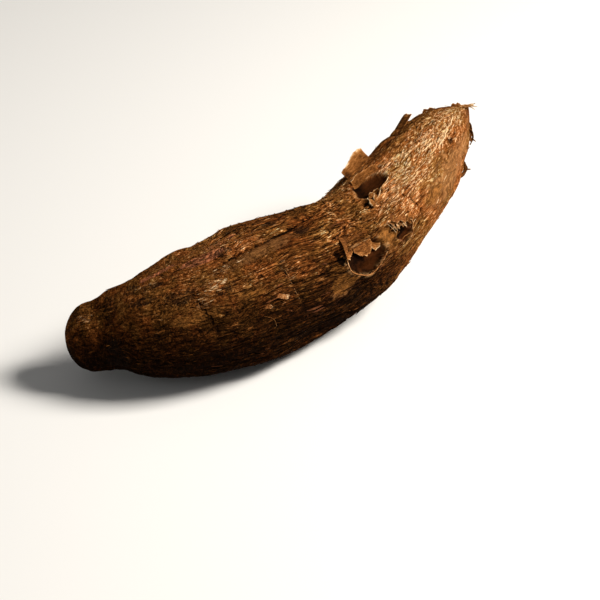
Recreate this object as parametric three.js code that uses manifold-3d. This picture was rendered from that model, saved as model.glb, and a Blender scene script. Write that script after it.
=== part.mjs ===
// A whole cassava root, lying on its belly: a bent spindle of rough bark with a blunt knobbly stub where it
// was cut from the plant, a thinner neck that rises off the table, and a pointed tip with a broken tail.
// Millimetres, +Z up. The root lies along X, stub at -X and tip at +X, and rests on low spots at Z = 0.

import * as THREE from "three";
import { mergeVertices } from "three/addons/utils/BufferGeometryUtils.js";
import Module from "manifold-3d";

// The middle line of the root, a station every PITCH mm from the stub to the tip.
// Each is x, y, z of the middle, then half width and half height of the root there.
const PITCH = 25;
const STATIONS = [
  [-147.0, 38.5, 24.5, 16.5, 16.0],
  [-128.5, 23.0, 29.5, 20.0, 20.0],
  [-108.5, 8.5, 34.5, 29.0, 28.5],
  [-85.0, -1.0, 37.5, 35.5, 35.5],
  [-60.5, -4.0, 38.5, 38.5, 39.0],
  [-35.5, -4.0, 38.0, 38.5, 39.0],
  [-10.5, -3.5, 37.0, 37.0, 37.5],
  [14.0, -1.5, 37.0, 34.0, 34.5],
  [38.0, 2.0, 41.0, 31.5, 31.5],
  [61.0, 8.0, 48.0, 30.0, 30.0],
  [84.0, 14.5, 55.0, 28.0, 28.5],
  [106.5, 21.0, 63.0, 24.5, 25.0],
  [128.0, 26.0, 72.0, 19.0, 19.5],
  [150.5, 29.5, 81.5, 13.0, 13.0],
];
const LENGTH = PITCH * (STATIONS.length - 1);

// The two ends close over these lengths: the stub bluntly, the tip to a point.
const STUB_CAP = { length: 17, round: 2.3, power: 0.45 };
const TIP_CAP = { length: 32, round: 1.6, power: 0.85 };

// From here on, a place on the bark is a length in mm from the stub and an angle in degrees round the
// middle line: 0 is the far side, 90 the top, 180 the near side and 270 the underside.
const UNDERSIDE = 270;

// The net of faces: how many round the root and along it, how far the rings crowd to the ends, and how
// far the faces crowd to the upper near side, where the bark shows most.
const NET = { round: 76, along: 55, endCrowding: 0.2, sideCrowding: 0.26, crowdedAngle: 120 };

// Soft swellings.
const SWELLS = [
  { what: "dip behind the shoulder", at: 150, angle: 48, along: 30, round: 28, height: -2.0 },
  { what: "hollow behind the neck", at: 236, angle: 38, along: 34, round: 30, height: -1.5 },
  { what: "rise above the stub", at: 38, angle: 62, along: 16, round: 28, height: 1.6 },
  { what: "foot under the neck", at: 166, angle: 287, along: 16, round: 26, height: 4.2 },
  { what: "foot under the stub", at: 62, angle: 288, along: 18, round: 26, height: 2.6 },
  { what: "upper stub lobe", at: 14, angle: 84, along: 8, round: 34, height: 1.8 },
  { what: "lower stub lobe", at: 8, angle: 205, along: 8, round: 42, height: 2.2 },
  { what: "back knuckle", at: 96, angle: 18, along: 24, round: 26, height: 2.4 },
  { what: "cheek of the neck", at: 262, angle: 150, along: 20, round: 40, height: 0.3 },
  { what: "flat before the shoulder", at: 94, angle: 60, along: 17, round: 24, height: -3.8 },
  { what: "shoulder of the stub", at: 27, angle: 72, along: 9, round: 30, height: 2.4 },
  { what: "flat near the tip", at: 292, angle: 56, along: 16, round: 30, height: -1.2 },
  { what: "dip behind the flake", at: 244, angle: 42, along: 10, round: 26, height: -1.6 },
  { what: "near flat by the tip", at: 292, angle: 200, along: 14, round: 30, height: -1.4 },
];

// Slow lumps, and the lengthwise grain of the bark: smooth noise in cells that are long along the root
// and narrow round it. Both fade out on the underside, which rests on the table.
const LUMPS = { cell: 46, round: 7, height: 1.2, seed: 3 };
const GRAIN = [
  { cell: 34, round: 26, height: 1.5, seed: 11 },
  { cell: 17, round: 44, height: 0.9, seed: 12 },
];
const GRAIN_SWAY = { length: 37, amount: 0.16 };
const GRAIN_FADE = 26;
const GRAIN_FULL_RADIUS = 36;
const CALM = { inner: 14, outer: 34 };

// Places where the outer bark is torn off down to the smooth skin. turn shifts the edge, which is ragged
// unless it says how much less.
const PEELS = [
  { what: "long peel", at: 210, angle: 97.5, along: 14.3, round: 14, depth: 2.1, rim: 0.9, turn: 4.54 },
  {
    what: "round peel",
    at: 169, angle: 154.2, along: 17.3, round: 14.8, depth: 3.2, rim: 1.7, turn: 1.1, ragged: 0.5,
  },
  { what: "torn hollow", at: 204.5, angle: 160, along: 7, round: 9.5, depth: 2.6, rim: 1.0, turn: 3.1 },
  {
    what: "far neck peel",
    at: 236, angle: 350, along: 13, round: 20, depth: 2.0, rim: 1.1, turn: 0.9, ragged: 0.5,
  },
  {
    what: "peel on the back",
    at: 128, angle: 16, along: 17, round: 15, depth: 2.2, rim: 1.3, turn: 2.4, ragged: 0.5,
  },
  { what: "scuff by the stub", at: 46, angle: 322, along: 10, round: 18, depth: 1.6, rim: 0.9, turn: 4.0 },
];
const PEEL_RIM = { place: 1.1, width: 0.2 };

// Creases that run round the root over an arc in degrees, with a slant in mm for each 45 degrees.
const CREASES = [
  { what: "neck of the stub", at: 23, angle: 110, arc: 200, slant: 3, depth: 1.3, width: 7 },
  { what: "near the stub", at: 72, angle: 150, arc: 34, slant: 2, depth: 1.0, width: 4.5 },
  { what: "middle crack", at: 115.5, angle: 156, arc: 34, slant: 7, depth: 1.0, width: 4.5 },
  { what: "neck crack", at: 224, angle: 150, arc: 30, slant: 3, depth: 0.9, width: 4.5 },
  { what: "back crack", at: 180, angle: 20, arc: 50, slant: 4, depth: 1.1, width: 5 },
  { what: "low back crack", at: 88, angle: 345, arc: 46, slant: -4, depth: 1.0, width: 5 },
  { what: "crack before the tip", at: 262, angle: 30, arc: 60, slant: 3, depth: 0.9, width: 4.5 },
];

// The long fold below the shoulder: a groove with a fuller upper lip.
const FOLD = { from: 80, to: 158, startAngle: 109, endAngle: 92, depth: 2.0, width: 4.2, lip: 0.7 };

// Flakes of bark that stand off the root. The foot line is wide and follows the bark, the free edge
// points the way of turn (0 to the tip, 90 to growing angles), lift and curl are in degrees, and skew
// pulls the free edge along the foot line. A flake with a profile keeps its width, and its free edge reaches
// these shares of its length from its first end to its last.
const FLAKE = { thickness: 0.8, sink: 1.8, across: 4, lengthwise: 3, taper: 0.3 };
const FLAKES = [
  {
    what: "upright flake",
    at: 226.5, angle: 63, wide: 22, long: 10, turn: -90, lift: 60, curl: 18, skew: -1,
    profile: [0.6, 0.72, 0.86, 1, 0.9],
  },
  {
    what: "strip at the long peel",
    at: 215.5, angle: 85.5, wide: 20.6, long: 4.4, turn: -80, lift: 52, curl: 0, skew: 1.5,
    profile: [0.9, 1, 0.94, 0.98, 0.8],
  },
  {
    what: "plank by the tip",
    at: 271, angle: 58.5, wide: 8.4, long: 13.4, turn: 0, lift: 6, curl: 0,
    profile: [0.96, 1, 1, 0.98, 0.92],
  },
  { what: "frayed edge by the tip", at: 307, angle: 186, wide: 9, long: 3.4, turn: 74, lift: 44, curl: 16 },
  { what: "near rim of the peel", at: 208, angle: 107, wide: 9, long: 3.6, turn: -80, lift: 26, curl: 20 },
  {
    what: "ear of the round peel",
    at: 157, angle: 129.5, wide: 5, long: 14.4, turn: 104, lift: 15, curl: -14,
    profile: [0.85, 0.9, 0.95, 1, 1],
  },
  {
    what: "flap of the round peel",
    at: 169.8, angle: 134.5, wide: 17.4, long: 12.2, turn: 93, lift: 4, curl: -7,
    profile: [0.5, 0.86, 1, 0.92, 0.62],
  },
  { what: "far flap of the peel", at: 181.5, angle: 147.5, wide: 7, long: 5.5, turn: 125, lift: 12, curl: 8 },
  { what: "ragged flap", at: 205.5, angle: 140.5, wide: 13, long: 6, turn: 115, lift: 14, curl: 8 },
  { what: "small ragged flap", at: 201, angle: 144, wide: 6, long: 5.5, turn: 115, lift: 16, curl: 8 },
  { what: "near chip", at: 103, angle: 153.5, wide: 2.6, long: 7, turn: 28, lift: 14, curl: 10 },
  { what: "far edge of the back peel", at: 130, angle: 30, wide: 18, long: 6, turn: -90, lift: 24, curl: 30 },
  { what: "flap on the back peel", at: 141, angle: 3, wide: 10, long: 7, turn: 150, lift: 30, curl: 40 },
  { what: "flap behind the neck", at: 231, angle: 9, wide: 12, long: 6.5, turn: -90, lift: 30, curl: 30 },
];
const SCATTER = { count: 9, seed: 41, from: 35, to: 285, angleFrom: -50, angleTo: 215, wide: 8, long: 5 };

// Rootlets and the broken tail. Each starts in the bark and takes these steps, in mm along the root,
// outwards and round it, while it tapers from its root radius to its end radius.
const ROOTLET = { sides: 5, rings: 6, sink: 2.5 };
const TAIL = { at: 318, angle: 102, root: 1.7, end: 0.8, steps: [[2.4, 0.4, 3], [5.2, 0.5, 5.4]] };
const HAIRS = [
  { at: 312, angle: 190, root: 1.3, end: 0.6, steps: [[-2, 2.4, 0], [-6, 4, 1], [-10, 3.6, 1], [-13, 1, 1]] },
  { at: 286, angle: 202, root: 1.6, end: 1.1, steps: [[-1, 2.2, 0.5], [-4, 3.4, 1.2], [-8, 3.2, 1.6]] },
  { at: 30, angle: 18, root: 1.2, end: 0.6, steps: [[-2, 2.4, 0], [-6, 3.2, 1], [-9, 1.8, 3]] },
  { at: 150, angle: 338, root: 1.3, end: 0.6, steps: [[2, 2.6, 0], [6, 3.4, 2], [9, 1.8, 5]] },
];

const BARK_COLOUR = 0x5a3a22;

const { clamp, degToRad, euclideanModulo, lerp } = THREE.MathUtils;

/** A smooth step from 0 at the low value to 1 at the high one. */
function ease(low, high, value) {
  const t = clamp((value - low) / (high - low), 0, 1);
  return t * t * (3 - 2 * t);
}

/** The difference between two angles in degrees, from -180 to 180. */
function apart(a, b) {
  return euclideanModulo(a - b + 180, 360) - 180;
}

/** A repeatable random value from -1 to 1 for one cell of the noise. */
function cellValue(column, row, seed) {
  const mixed = Math.sin(column * 127.1 + row * 311.7 + seed * 74.7) * 43758.5453;
  return 2 * (mixed - Math.floor(mixed)) - 1;
}

/** Smooth noise from -1 to 1 over the bark, in cells this long and this many round the root. */
function noise({ cell, round, seed }, along, turns) {
  const x = along / cell;
  const y = turns * round;
  const column = Math.floor(x);
  const row = Math.floor(y);
  const value = (i, j) => cellValue(column + i, euclideanModulo(row + j, round), seed);
  const across = ease(0, 1, y - row);
  const before = lerp(value(0, 0), value(0, 1), across);
  const after = lerp(value(1, 0), value(1, 1), across);
  return lerp(before, after, ease(0, 1, x - column));
}

/** The middle point and half sizes at a length along the root: a smooth curve through the stations. */
function stationAt(along) {
  const last = STATIONS.length - 1;
  const place = clamp(along / PITCH, 0, last);
  const i = Math.min(Math.floor(place), last - 1);
  const t = place - i;
  const [a, b, c, d] = [i - 1, i, i + 1, i + 2].map((k) => STATIONS[clamp(k, 0, last)]);
  return b.map((_, k) => {
    const leave = i === 0 ? c[k] - b[k] : (c[k] - a[k]) / 2;
    const arrive = i === last - 1 ? c[k] - b[k] : (d[k] - b[k]) / 2;
    const curve = [
      (2 * t ** 3 - 3 * t ** 2 + 1) * b[k],
      (t ** 3 - 2 * t ** 2 + t) * leave,
      (3 * t ** 2 - 2 * t ** 3) * c[k],
      (t ** 3 - t ** 2) * arrive,
    ];
    return curve.reduce((sum, term) => sum + term);
  });
}

/** The middle point, the half sizes and three directions: along, sideways (level) and upwards. */
function frameAt(along) {
  const [x, y, z, halfWidth, halfHeight] = stationAt(along);
  const before = new THREE.Vector3(...stationAt(along - 0.5).slice(0, 3));
  const after = new THREE.Vector3(...stationAt(along + 0.5).slice(0, 3));
  const tangent = after.sub(before).normalize();
  const side = new THREE.Vector3(-tangent.y, tangent.x, 0).normalize();
  const up = new THREE.Vector3().crossVectors(tangent, side);
  return { middle: new THREE.Vector3(x, y, z), halfWidth, halfHeight, tangent, side, up };
}

/** How much of the full thickness is left near the two ends. */
function closing(along) {
  const stub = 1 - clamp(along / STUB_CAP.length, 0, 1);
  const tip = 1 - clamp((LENGTH - along) / TIP_CAP.length, 0, 1);
  return (1 - stub ** STUB_CAP.round) ** STUB_CAP.power * (1 - tip ** TIP_CAP.round) ** TIP_CAP.power;
}

/** A torn place: sunk inside its ragged edge, with a raised rim just outside. */
function peelRelief(peel, along, angle) {
  const x = (along - peel.at) / peel.along;
  const y = apart(angle, peel.angle) / peel.round;
  const way = Math.atan2(y, x) + peel.turn;
  const ragged = 0.13 * Math.sin(3 * way) + 0.08 * Math.sin(5 * way + 1);
  const reach = Math.hypot(x, y) / (1 + (peel.ragged ?? 1) * ragged);
  const rim = peel.rim * Math.exp(-(((reach - PEEL_RIM.place) / PEEL_RIM.width) ** 2));
  return rim - peel.depth * (1 - ease(0.72, 1.02, reach));
}

/** A crease that runs round part of the root. */
function creaseRelief(crease, along, angle) {
  const off = apart(angle, crease.angle);
  const line = crease.at + (crease.slant * off) / 45 + 1.2 * Math.sin(degToRad(off * 5));
  const cover = 1 - ease(0.6 * crease.arc, crease.arc, Math.abs(off));
  return -crease.depth * cover * Math.exp(-(((along - line) / crease.width) ** 2));
}

/** The fold below the shoulder. */
function foldRelief(along, angle, radius) {
  const t = (along - FOLD.from) / (FOLD.to - FOLD.from);
  const line = lerp(FOLD.startAngle, FOLD.endAngle, clamp(t, 0, 1) ** 2);
  const off = degToRad(apart(angle, line)) * radius;
  const cover = ease(-0.08, 0.12, t) * (1 - ease(0.92, 1.1, t));
  const lip = FOLD.lip * Math.exp(-(((off + 1.5 * FOLD.width) / FOLD.width) ** 2));
  return cover * (lip - FOLD.depth * Math.exp(-((off / FOLD.width) ** 2)));
}

/** The lengthwise grain, which is lower where the root is thin, and the slow lumps. */
function grainRelief(along, angle, radius) {
  const sway = GRAIN_SWAY.amount * Math.sin(along / GRAIN_SWAY.length);
  const turns = angle / 360;
  const calm = ease(CALM.inner, CALM.outer, Math.abs(apart(angle, UNDERSIDE)));
  const fade = ease(0, GRAIN_FADE, along) * ease(0, GRAIN_FADE, LENGTH - along);
  const grain = GRAIN.reduce(
    (sum, layer) => sum + layer.height * noise(layer, along, turns + (sway + layer.seed) / layer.round),
    0,
  );
  const thick = Math.min(radius / GRAIN_FULL_RADIUS, 1);
  return calm * (fade * thick * grain + LUMPS.height * noise(LUMPS, along, turns));
}

/** Everything that stands proud of the plain spindle, or is sunk below it. */
function relief(along, angle, radius) {
  let height = grainRelief(along, angle, radius) + foldRelief(along, angle, radius);
  for (const swell of SWELLS) {
    const x = (along - swell.at) / swell.along;
    const y = apart(angle, swell.angle) / swell.round;
    height += swell.height * Math.exp(-x * x - y * y);
  }
  for (const peel of PEELS) height += peelRelief(peel, along, angle);
  for (const crease of CREASES) height += creaseRelief(crease, along, angle);
  return height;
}

/** A point of the bark, or one that lies outside it by some mm. */
function barkPoint(along, angle, outside = 0) {
  const { middle, halfWidth, halfHeight, side, up } = frameAt(along);
  const full = closing(along);
  const grow = full * relief(along, angle, (halfWidth + halfHeight) / 2) + outside;
  const turn = degToRad(angle);
  return middle
    .clone()
    .addScaledVector(side, (halfWidth * full + grow) * Math.cos(turn))
    .addScaledVector(up, (halfHeight * full + grow) * Math.sin(turn));
}

/** The directions at a place on the bark: along the root, outwards and round it. */
function directionsAt(along, angle) {
  const { tangent, side, up } = frameAt(along);
  const turn = degToRad(angle);
  const out = side.clone().multiplyScalar(Math.cos(turn)).addScaledVector(up, Math.sin(turn));
  return { tangent, out, round: new THREE.Vector3().crossVectors(tangent, out) };
}

/** Moves every vertex of a geometry to where the function says. */
function moved(geometry, place) {
  const position = geometry.getAttribute("position");
  for (let i = 0; i < position.count; i++) {
    const point = place(new THREE.Vector3().fromBufferAttribute(position, i), i);
    position.setXYZ(i, point.x, point.y, point.z);
  }
  return geometry;
}

/** The body: a sphere's net of faces drawn out along the middle line, none of it below the table. */
function bodyGeometry() {
  const net = new THREE.SphereGeometry(1, NET.round, NET.along);
  const uv = net.getAttribute("uv");
  return moved(net, (_, i) => {
    const share = 1 - uv.getY(i);
    const along = LENGTH * lerp(share, (1 - Math.cos(Math.PI * share)) / 2, NET.endCrowding);
    const atEnd = share < 1e-6 || share > 1 - 1e-6;
    const turn = atEnd ? 0 : 360 * (1 - (uv.getX(i) % 1));
    const crowd = NET.sideCrowding * Math.cos(degToRad(turn + 90 - NET.crowdedAngle));
    const point = barkPoint(along, turn + THREE.MathUtils.radToDeg(crowd));
    point.z = Math.max(point.z, 0);
    return point;
  });
}

/** Repeatable random numbers from 0 to 1. */
function seeded(seed) {
  let draws = 0;
  return () => (cellValue(draws++, seed, 5) + 1) / 2;
}

/** A flake of bark: a thin plate whose foot line follows the bark and whose ragged edge curls away. */
function flakeGeometry(flake, index) {
  const random = seeded(index);
  const { across, lengthwise, thickness, sink } = FLAKE;
  const ragged = Array.from({ length: across + 1 }, () => lerp(0.66, 1, random()));
  const radius = stationAt(flake.at)[3];
  const way = degToRad(flake.turn);
  const skew = flake.skew ?? 0;
  const plate = new THREE.BoxGeometry(1, 1, 1, across, lengthwise, 1);
  return moved(plate, ({ x, y, z }) => {
    const share = y + 0.5;
    const taper = flake.profile ? 1 : 1 - FLAKE.taper * share ** 2;
    const offset = flake.wide * x * taper + skew * share;
    const at = flake.at - offset * Math.sin(way);
    const angle = flake.angle + THREE.MathUtils.radToDeg((offset * Math.cos(way)) / radius);
    const { tangent, out, round } = directionsAt(at, angle);
    const forward = tangent.multiplyScalar(Math.cos(way)).addScaledVector(round, Math.sin(way));
    const column = Math.round((x + 0.5) * across);
    const edge = flake.profile ? flake.profile[column] : ragged[column] * (1 - 0.9 * x * x);
    const reach = lerp(-sink, flake.long * edge, share);
    const lean = degToRad(flake.lift + flake.curl * share);
    const rise = lerp(thickness, 0.7 * thickness, share) * z;
    return barkPoint(at, angle)
      .addScaledVector(forward, reach * Math.cos(lean) - rise * Math.sin(lean))
      .addScaledVector(out, reach * Math.sin(lean) + rise * Math.cos(lean));
  });
}

/** Smaller flakes in seeded places over the upper and far sides. */
function scatteredFlakes() {
  const random = seeded(SCATTER.seed);
  return Array.from({ length: SCATTER.count }, (_, i) => ({
    at: lerp(SCATTER.from, SCATTER.to, (i + random()) / SCATTER.count),
    angle: lerp(SCATTER.angleFrom, SCATTER.angleTo, random()),
    wide: SCATTER.wide * lerp(0.7, 1.4, random()),
    long: SCATTER.long * lerp(0.8, 1.2, random()),
    turn: (random() < 0.5 ? -90 : 90) + lerp(-25, 25, random()),
    lift: lerp(14, 30, random()),
    curl: lerp(8, 26, random()),
  }));
}

/** A rootlet: a thin tapering cord that grows out of the bark. */
function rootletGeometry(rootlet) {
  const { tangent, out, round } = directionsAt(rootlet.at, rootlet.angle);
  const start = barkPoint(rootlet.at, rootlet.angle);
  const stops = rootlet.steps.map(([along, outwards, around]) => {
    const stop = start.clone().addScaledVector(tangent, along);
    return stop.addScaledVector(out, outwards).addScaledVector(round, around);
  });
  const inside = start.clone().sub(stops[0]).setLength(ROOTLET.sink).add(start);
  const curve = new THREE.CatmullRomCurve3([inside, start, ...stops]);
  const frames = curve.computeFrenetFrames(ROOTLET.rings, false);
  const cord = new THREE.CylinderGeometry(1, 1, 1, ROOTLET.sides, ROOTLET.rings);
  return moved(cord, ({ x, y, z }) => {
    const share = y + 0.5;
    const ring = Math.round(share * ROOTLET.rings);
    const radius = lerp(rootlet.root, rootlet.end, share);
    return curve
      .getPointAt(share)
      .addScaledVector(frames.normals[ring], radius * x)
      .addScaledVector(frames.binormals[ring], -radius * z);
  });
}

const wasm = await Module();
wasm.setup();

/** A closed geometry as a solid that can be joined to others, its faces turned outwards. */
function solidOf(geometry) {
  geometry.deleteAttribute("normal");
  geometry.deleteAttribute("uv");
  const merged = mergeVertices(geometry, 1e-3);
  const corners = Uint32Array.from(merged.index.array);
  const build = () =>
    new wasm.Manifold(
      new wasm.Mesh({ numProp: 3, vertProperties: merged.attributes.position.array, triVerts: corners }),
    );
  const solid = build();
  if (solid.volume() > 0) return solid;
  corners.reverse();
  return build();
}

/** The whole root: the body with its flakes and rootlets joined to it. */
function rootGeometry() {
  const pieces = [
    bodyGeometry(),
    ...[...FLAKES, ...scatteredFlakes()].map(flakeGeometry),
    ...[TAIL, ...HAIRS].map(rootletGeometry),
  ];
  const mesh = wasm.Manifold.union(pieces.map(solidOf)).getMesh();
  return new THREE.BufferGeometry()
    .setAttribute("position", new THREE.BufferAttribute(mesh.vertProperties, 3))
    .setIndex(new THREE.BufferAttribute(mesh.triVerts, 1));
}

const bark = new THREE.MeshStandardMaterial({ color: BARK_COLOUR, roughness: 0.85, metalness: 0 });
const root = new THREE.Mesh(rootGeometry(), bark);
root.name = "cassava_root";

const group = new THREE.Group();
group.add(root);
export default group;
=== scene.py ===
"""A whole cassava root on a pale floor, in soft studio light.

The root is a bent spindle of rough brown bark. Its plain form is the CAD part's own formula, and this script
adds what is finer: layered and split bark, curled scales, splinters, flakes, root hairs and the colours.

A place on the bark is a length in millimetres from the stub and an angle in degrees round the middle line:
0 is the far side, 90 the top, 180 the near side and 270 the underside. Meshes are in metres.
"""

import itertools
import logging
import math
from collections.abc import Iterator
from contextlib import contextmanager
from dataclasses import dataclass
from enum import Enum

import bpy
import numpy as np
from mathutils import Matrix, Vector


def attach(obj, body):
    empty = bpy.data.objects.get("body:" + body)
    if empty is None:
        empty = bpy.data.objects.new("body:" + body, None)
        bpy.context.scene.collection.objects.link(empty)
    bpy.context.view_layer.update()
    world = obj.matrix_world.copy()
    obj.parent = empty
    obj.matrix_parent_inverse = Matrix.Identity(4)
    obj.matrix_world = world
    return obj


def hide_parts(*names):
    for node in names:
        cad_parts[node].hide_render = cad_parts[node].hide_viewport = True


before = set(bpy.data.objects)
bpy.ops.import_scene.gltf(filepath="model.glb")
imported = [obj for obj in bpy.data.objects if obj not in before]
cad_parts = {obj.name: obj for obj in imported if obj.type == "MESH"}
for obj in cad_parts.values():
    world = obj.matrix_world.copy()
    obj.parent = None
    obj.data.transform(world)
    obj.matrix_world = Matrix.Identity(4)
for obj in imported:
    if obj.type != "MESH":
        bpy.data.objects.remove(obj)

LOG = logging.getLogger("cassava")
MM = 0.001
BODY = "root"
NODE = "cassava_root"
UNDERSIDE = 270.0

Array = np.ndarray


# Small sums


def ease(low: float, high: float, value: Array) -> Array:
    """A smooth step from 0 at the low value to 1 at the high one."""
    t = np.clip((value - low) / (high - low), 0.0, 1.0)
    return t * t * (3.0 - 2.0 * t)


def lerp(start: float, end: float, share: Array) -> Array:
    """The value this share of the way from start to end."""
    return start + (end - start) * share


def apart(a: Array, b: float) -> Array:
    """The difference between two angles in degrees, from -180 to 180."""
    return (a - b + 180.0) % 360.0 - 180.0


def bell(value: Array) -> Array:
    """A bell curve: 1 at 0, fading to 0 on both sides."""
    return np.exp(-value * value)


def columns(*values: Array | float) -> Array:
    """Points from their columns. A plain number fills its column."""
    return np.stack(np.broadcast_arrays(*values), axis=-1)


def cell_value(column: Array, row: Array, seed: float) -> Array:
    """A repeatable random value from -1 to 1 for one cell of the CAD part's noise."""
    mixed = np.sin(column * 127.1 + row * 311.7 + seed * 74.7) * 43758.5453
    return 2.0 * (mixed - np.floor(mixed)) - 1.0


def flow_noise(points: Array, seed: int) -> Array:
    """Smooth noise from about -1 to 1 at points whose cells are 1 wide.

    Args:
        points: one row of three numbers for each point.
        seed: another seed gives other noise.

    Returns:
        One value for each point.
    """
    base = np.floor(points).astype(np.int64)
    part = points - base
    fade = part**3 * (part * (part * 6.0 - 15.0) + 10.0)
    total = np.zeros(len(points))
    for corner in itertools.product((0, 1), repeat=3):
        cell = base + corner
        mixed = cell[:, 0] * 374761393 + cell[:, 1] * 668265263 + cell[:, 2] * 982451653 + seed * 1274126177
        mixed = ((mixed ^ (mixed >> 13)) * 1103515245) & 0xFFFFFFFF
        mixed = (mixed ^ (mixed >> 16)) & 0xFFFFFFFF
        turn = 2.0 * np.pi * (mixed & 1023) / 1024.0
        rise = 2.0 * ((mixed >> 10) & 1023) / 1023.0 - 1.0
        level = np.sqrt(1.0 - rise * rise)
        slope = np.stack([level * np.cos(turn), level * np.sin(turn), rise], axis=1)
        weight = np.prod(np.where(corner, fade, 1.0 - fade), axis=1)
        total += weight * ((part - corner) * slope).sum(axis=1)
    return total * 1.7


@dataclass(frozen=True)
class Pattern:
    """Noise in cells of this length along the root and width round it, in millimetres, with its strength."""

    long: float
    wide: float
    seed: int
    strength: float = 1.0

    def at(self, points: Array) -> Array:
        """The noise at some points, about as far as its strength to each side of 0."""
        return self.strength * flow_noise(points / (self.long, self.wide, self.wide), self.seed)


def summed(patterns: tuple[Pattern, ...], points: Array) -> Array:
    """The sum of some patterns at some points."""
    return sum(pattern.at(points) for pattern in patterns)


# The form of the root, as in the CAD part


@dataclass(frozen=True)
class Swell:
    """A soft swelling or hollow, with its place, its reach both ways and its height."""

    at: float
    angle: float
    along: float
    round: float
    height: float

    def amount(self, along: Array, angle: Array) -> Array:
        """How high it is at some places."""
        x, y = (along - self.at) / self.along, apart(angle, self.angle) / self.round
        return self.height * np.exp(-x * x - y * y)


@dataclass(frozen=True)
class Peel:
    """A place where the outer bark is torn off down to the skin. turn shifts its more or less ragged edge."""

    at: float
    angle: float
    along: float
    round: float
    depth: float
    rim: float
    turn: float
    ragged: float = 1.0

    def outline(self, way: Array) -> Array:
        """How far out the ragged edge lies this way from the middle, in radians, where 1 is a plain oval."""
        turned = way + self.turn
        return 1.0 + self.ragged * (0.13 * np.sin(3.0 * turned) + 0.08 * np.sin(5.0 * turned + 1.0))

    def reach(self, along: Array, angle: Array) -> Array:
        """How far out a place is: 0 in the middle of the peel and 1 at its ragged edge.

        Args:
            along: lengths from the stub.
            angle: angles round the middle line.

        Returns:
            How far out each place is.
        """
        x = (along - self.at) / self.along
        y = apart(angle, self.angle) / self.round
        return np.hypot(x, y) / self.outline(np.arctan2(y, x))


@dataclass(frozen=True)
class Crease:
    """A crease that runs round the root over an arc, with a slant in mm for each 45 degrees."""

    at: float
    angle: float
    arc: float
    slant: float
    depth: float
    width: float

    def off_line(self, along: Array, angle: Array) -> Array:
        """How far in mm a place lies from the crease, along the root."""
        off = apart(angle, self.angle)
        return along - (self.at + self.slant * off / 45.0 + 1.2 * np.sin(np.radians(5.0 * off)))

    def cover(self, angle: Array) -> Array:
        """1 over most of the arc, and 0 beyond it."""
        return 1.0 - ease(0.6 * self.arc, self.arc, np.abs(apart(angle, self.angle)))


@dataclass(frozen=True)
class Grain:
    """Smooth noise over the bark: how long its cells are, how many go round the root, its height and seed."""

    cell: float
    count: int
    height: float
    seed: int

    def at(self, along: Array, turns: Array) -> Array:
        """The height at lengths along the root and whole turns round it.

        Args:
            along: lengths from the stub.
            turns: whole turns round the middle line.

        Returns:
            The height in millimetres at each place.
        """
        x, y = along / self.cell, turns * self.count
        column, row = np.floor(x), np.floor(y)
        across, ahead = ease(0, 1, y - row), ease(0, 1, x - column)
        before, after = (
            lerp(*(cell_value(column + i, (row + j) % self.count, self.seed) for j in (0, 1)), across)
            for i in (0, 1)
        )
        return self.height * lerp(before, after, ahead)


@dataclass(frozen=True)
class Axes:
    """The middle line at some lengths: its points, half sizes and three directions."""

    middle: Array
    half: Array
    tangent: Array
    side: Array
    up: Array


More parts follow.
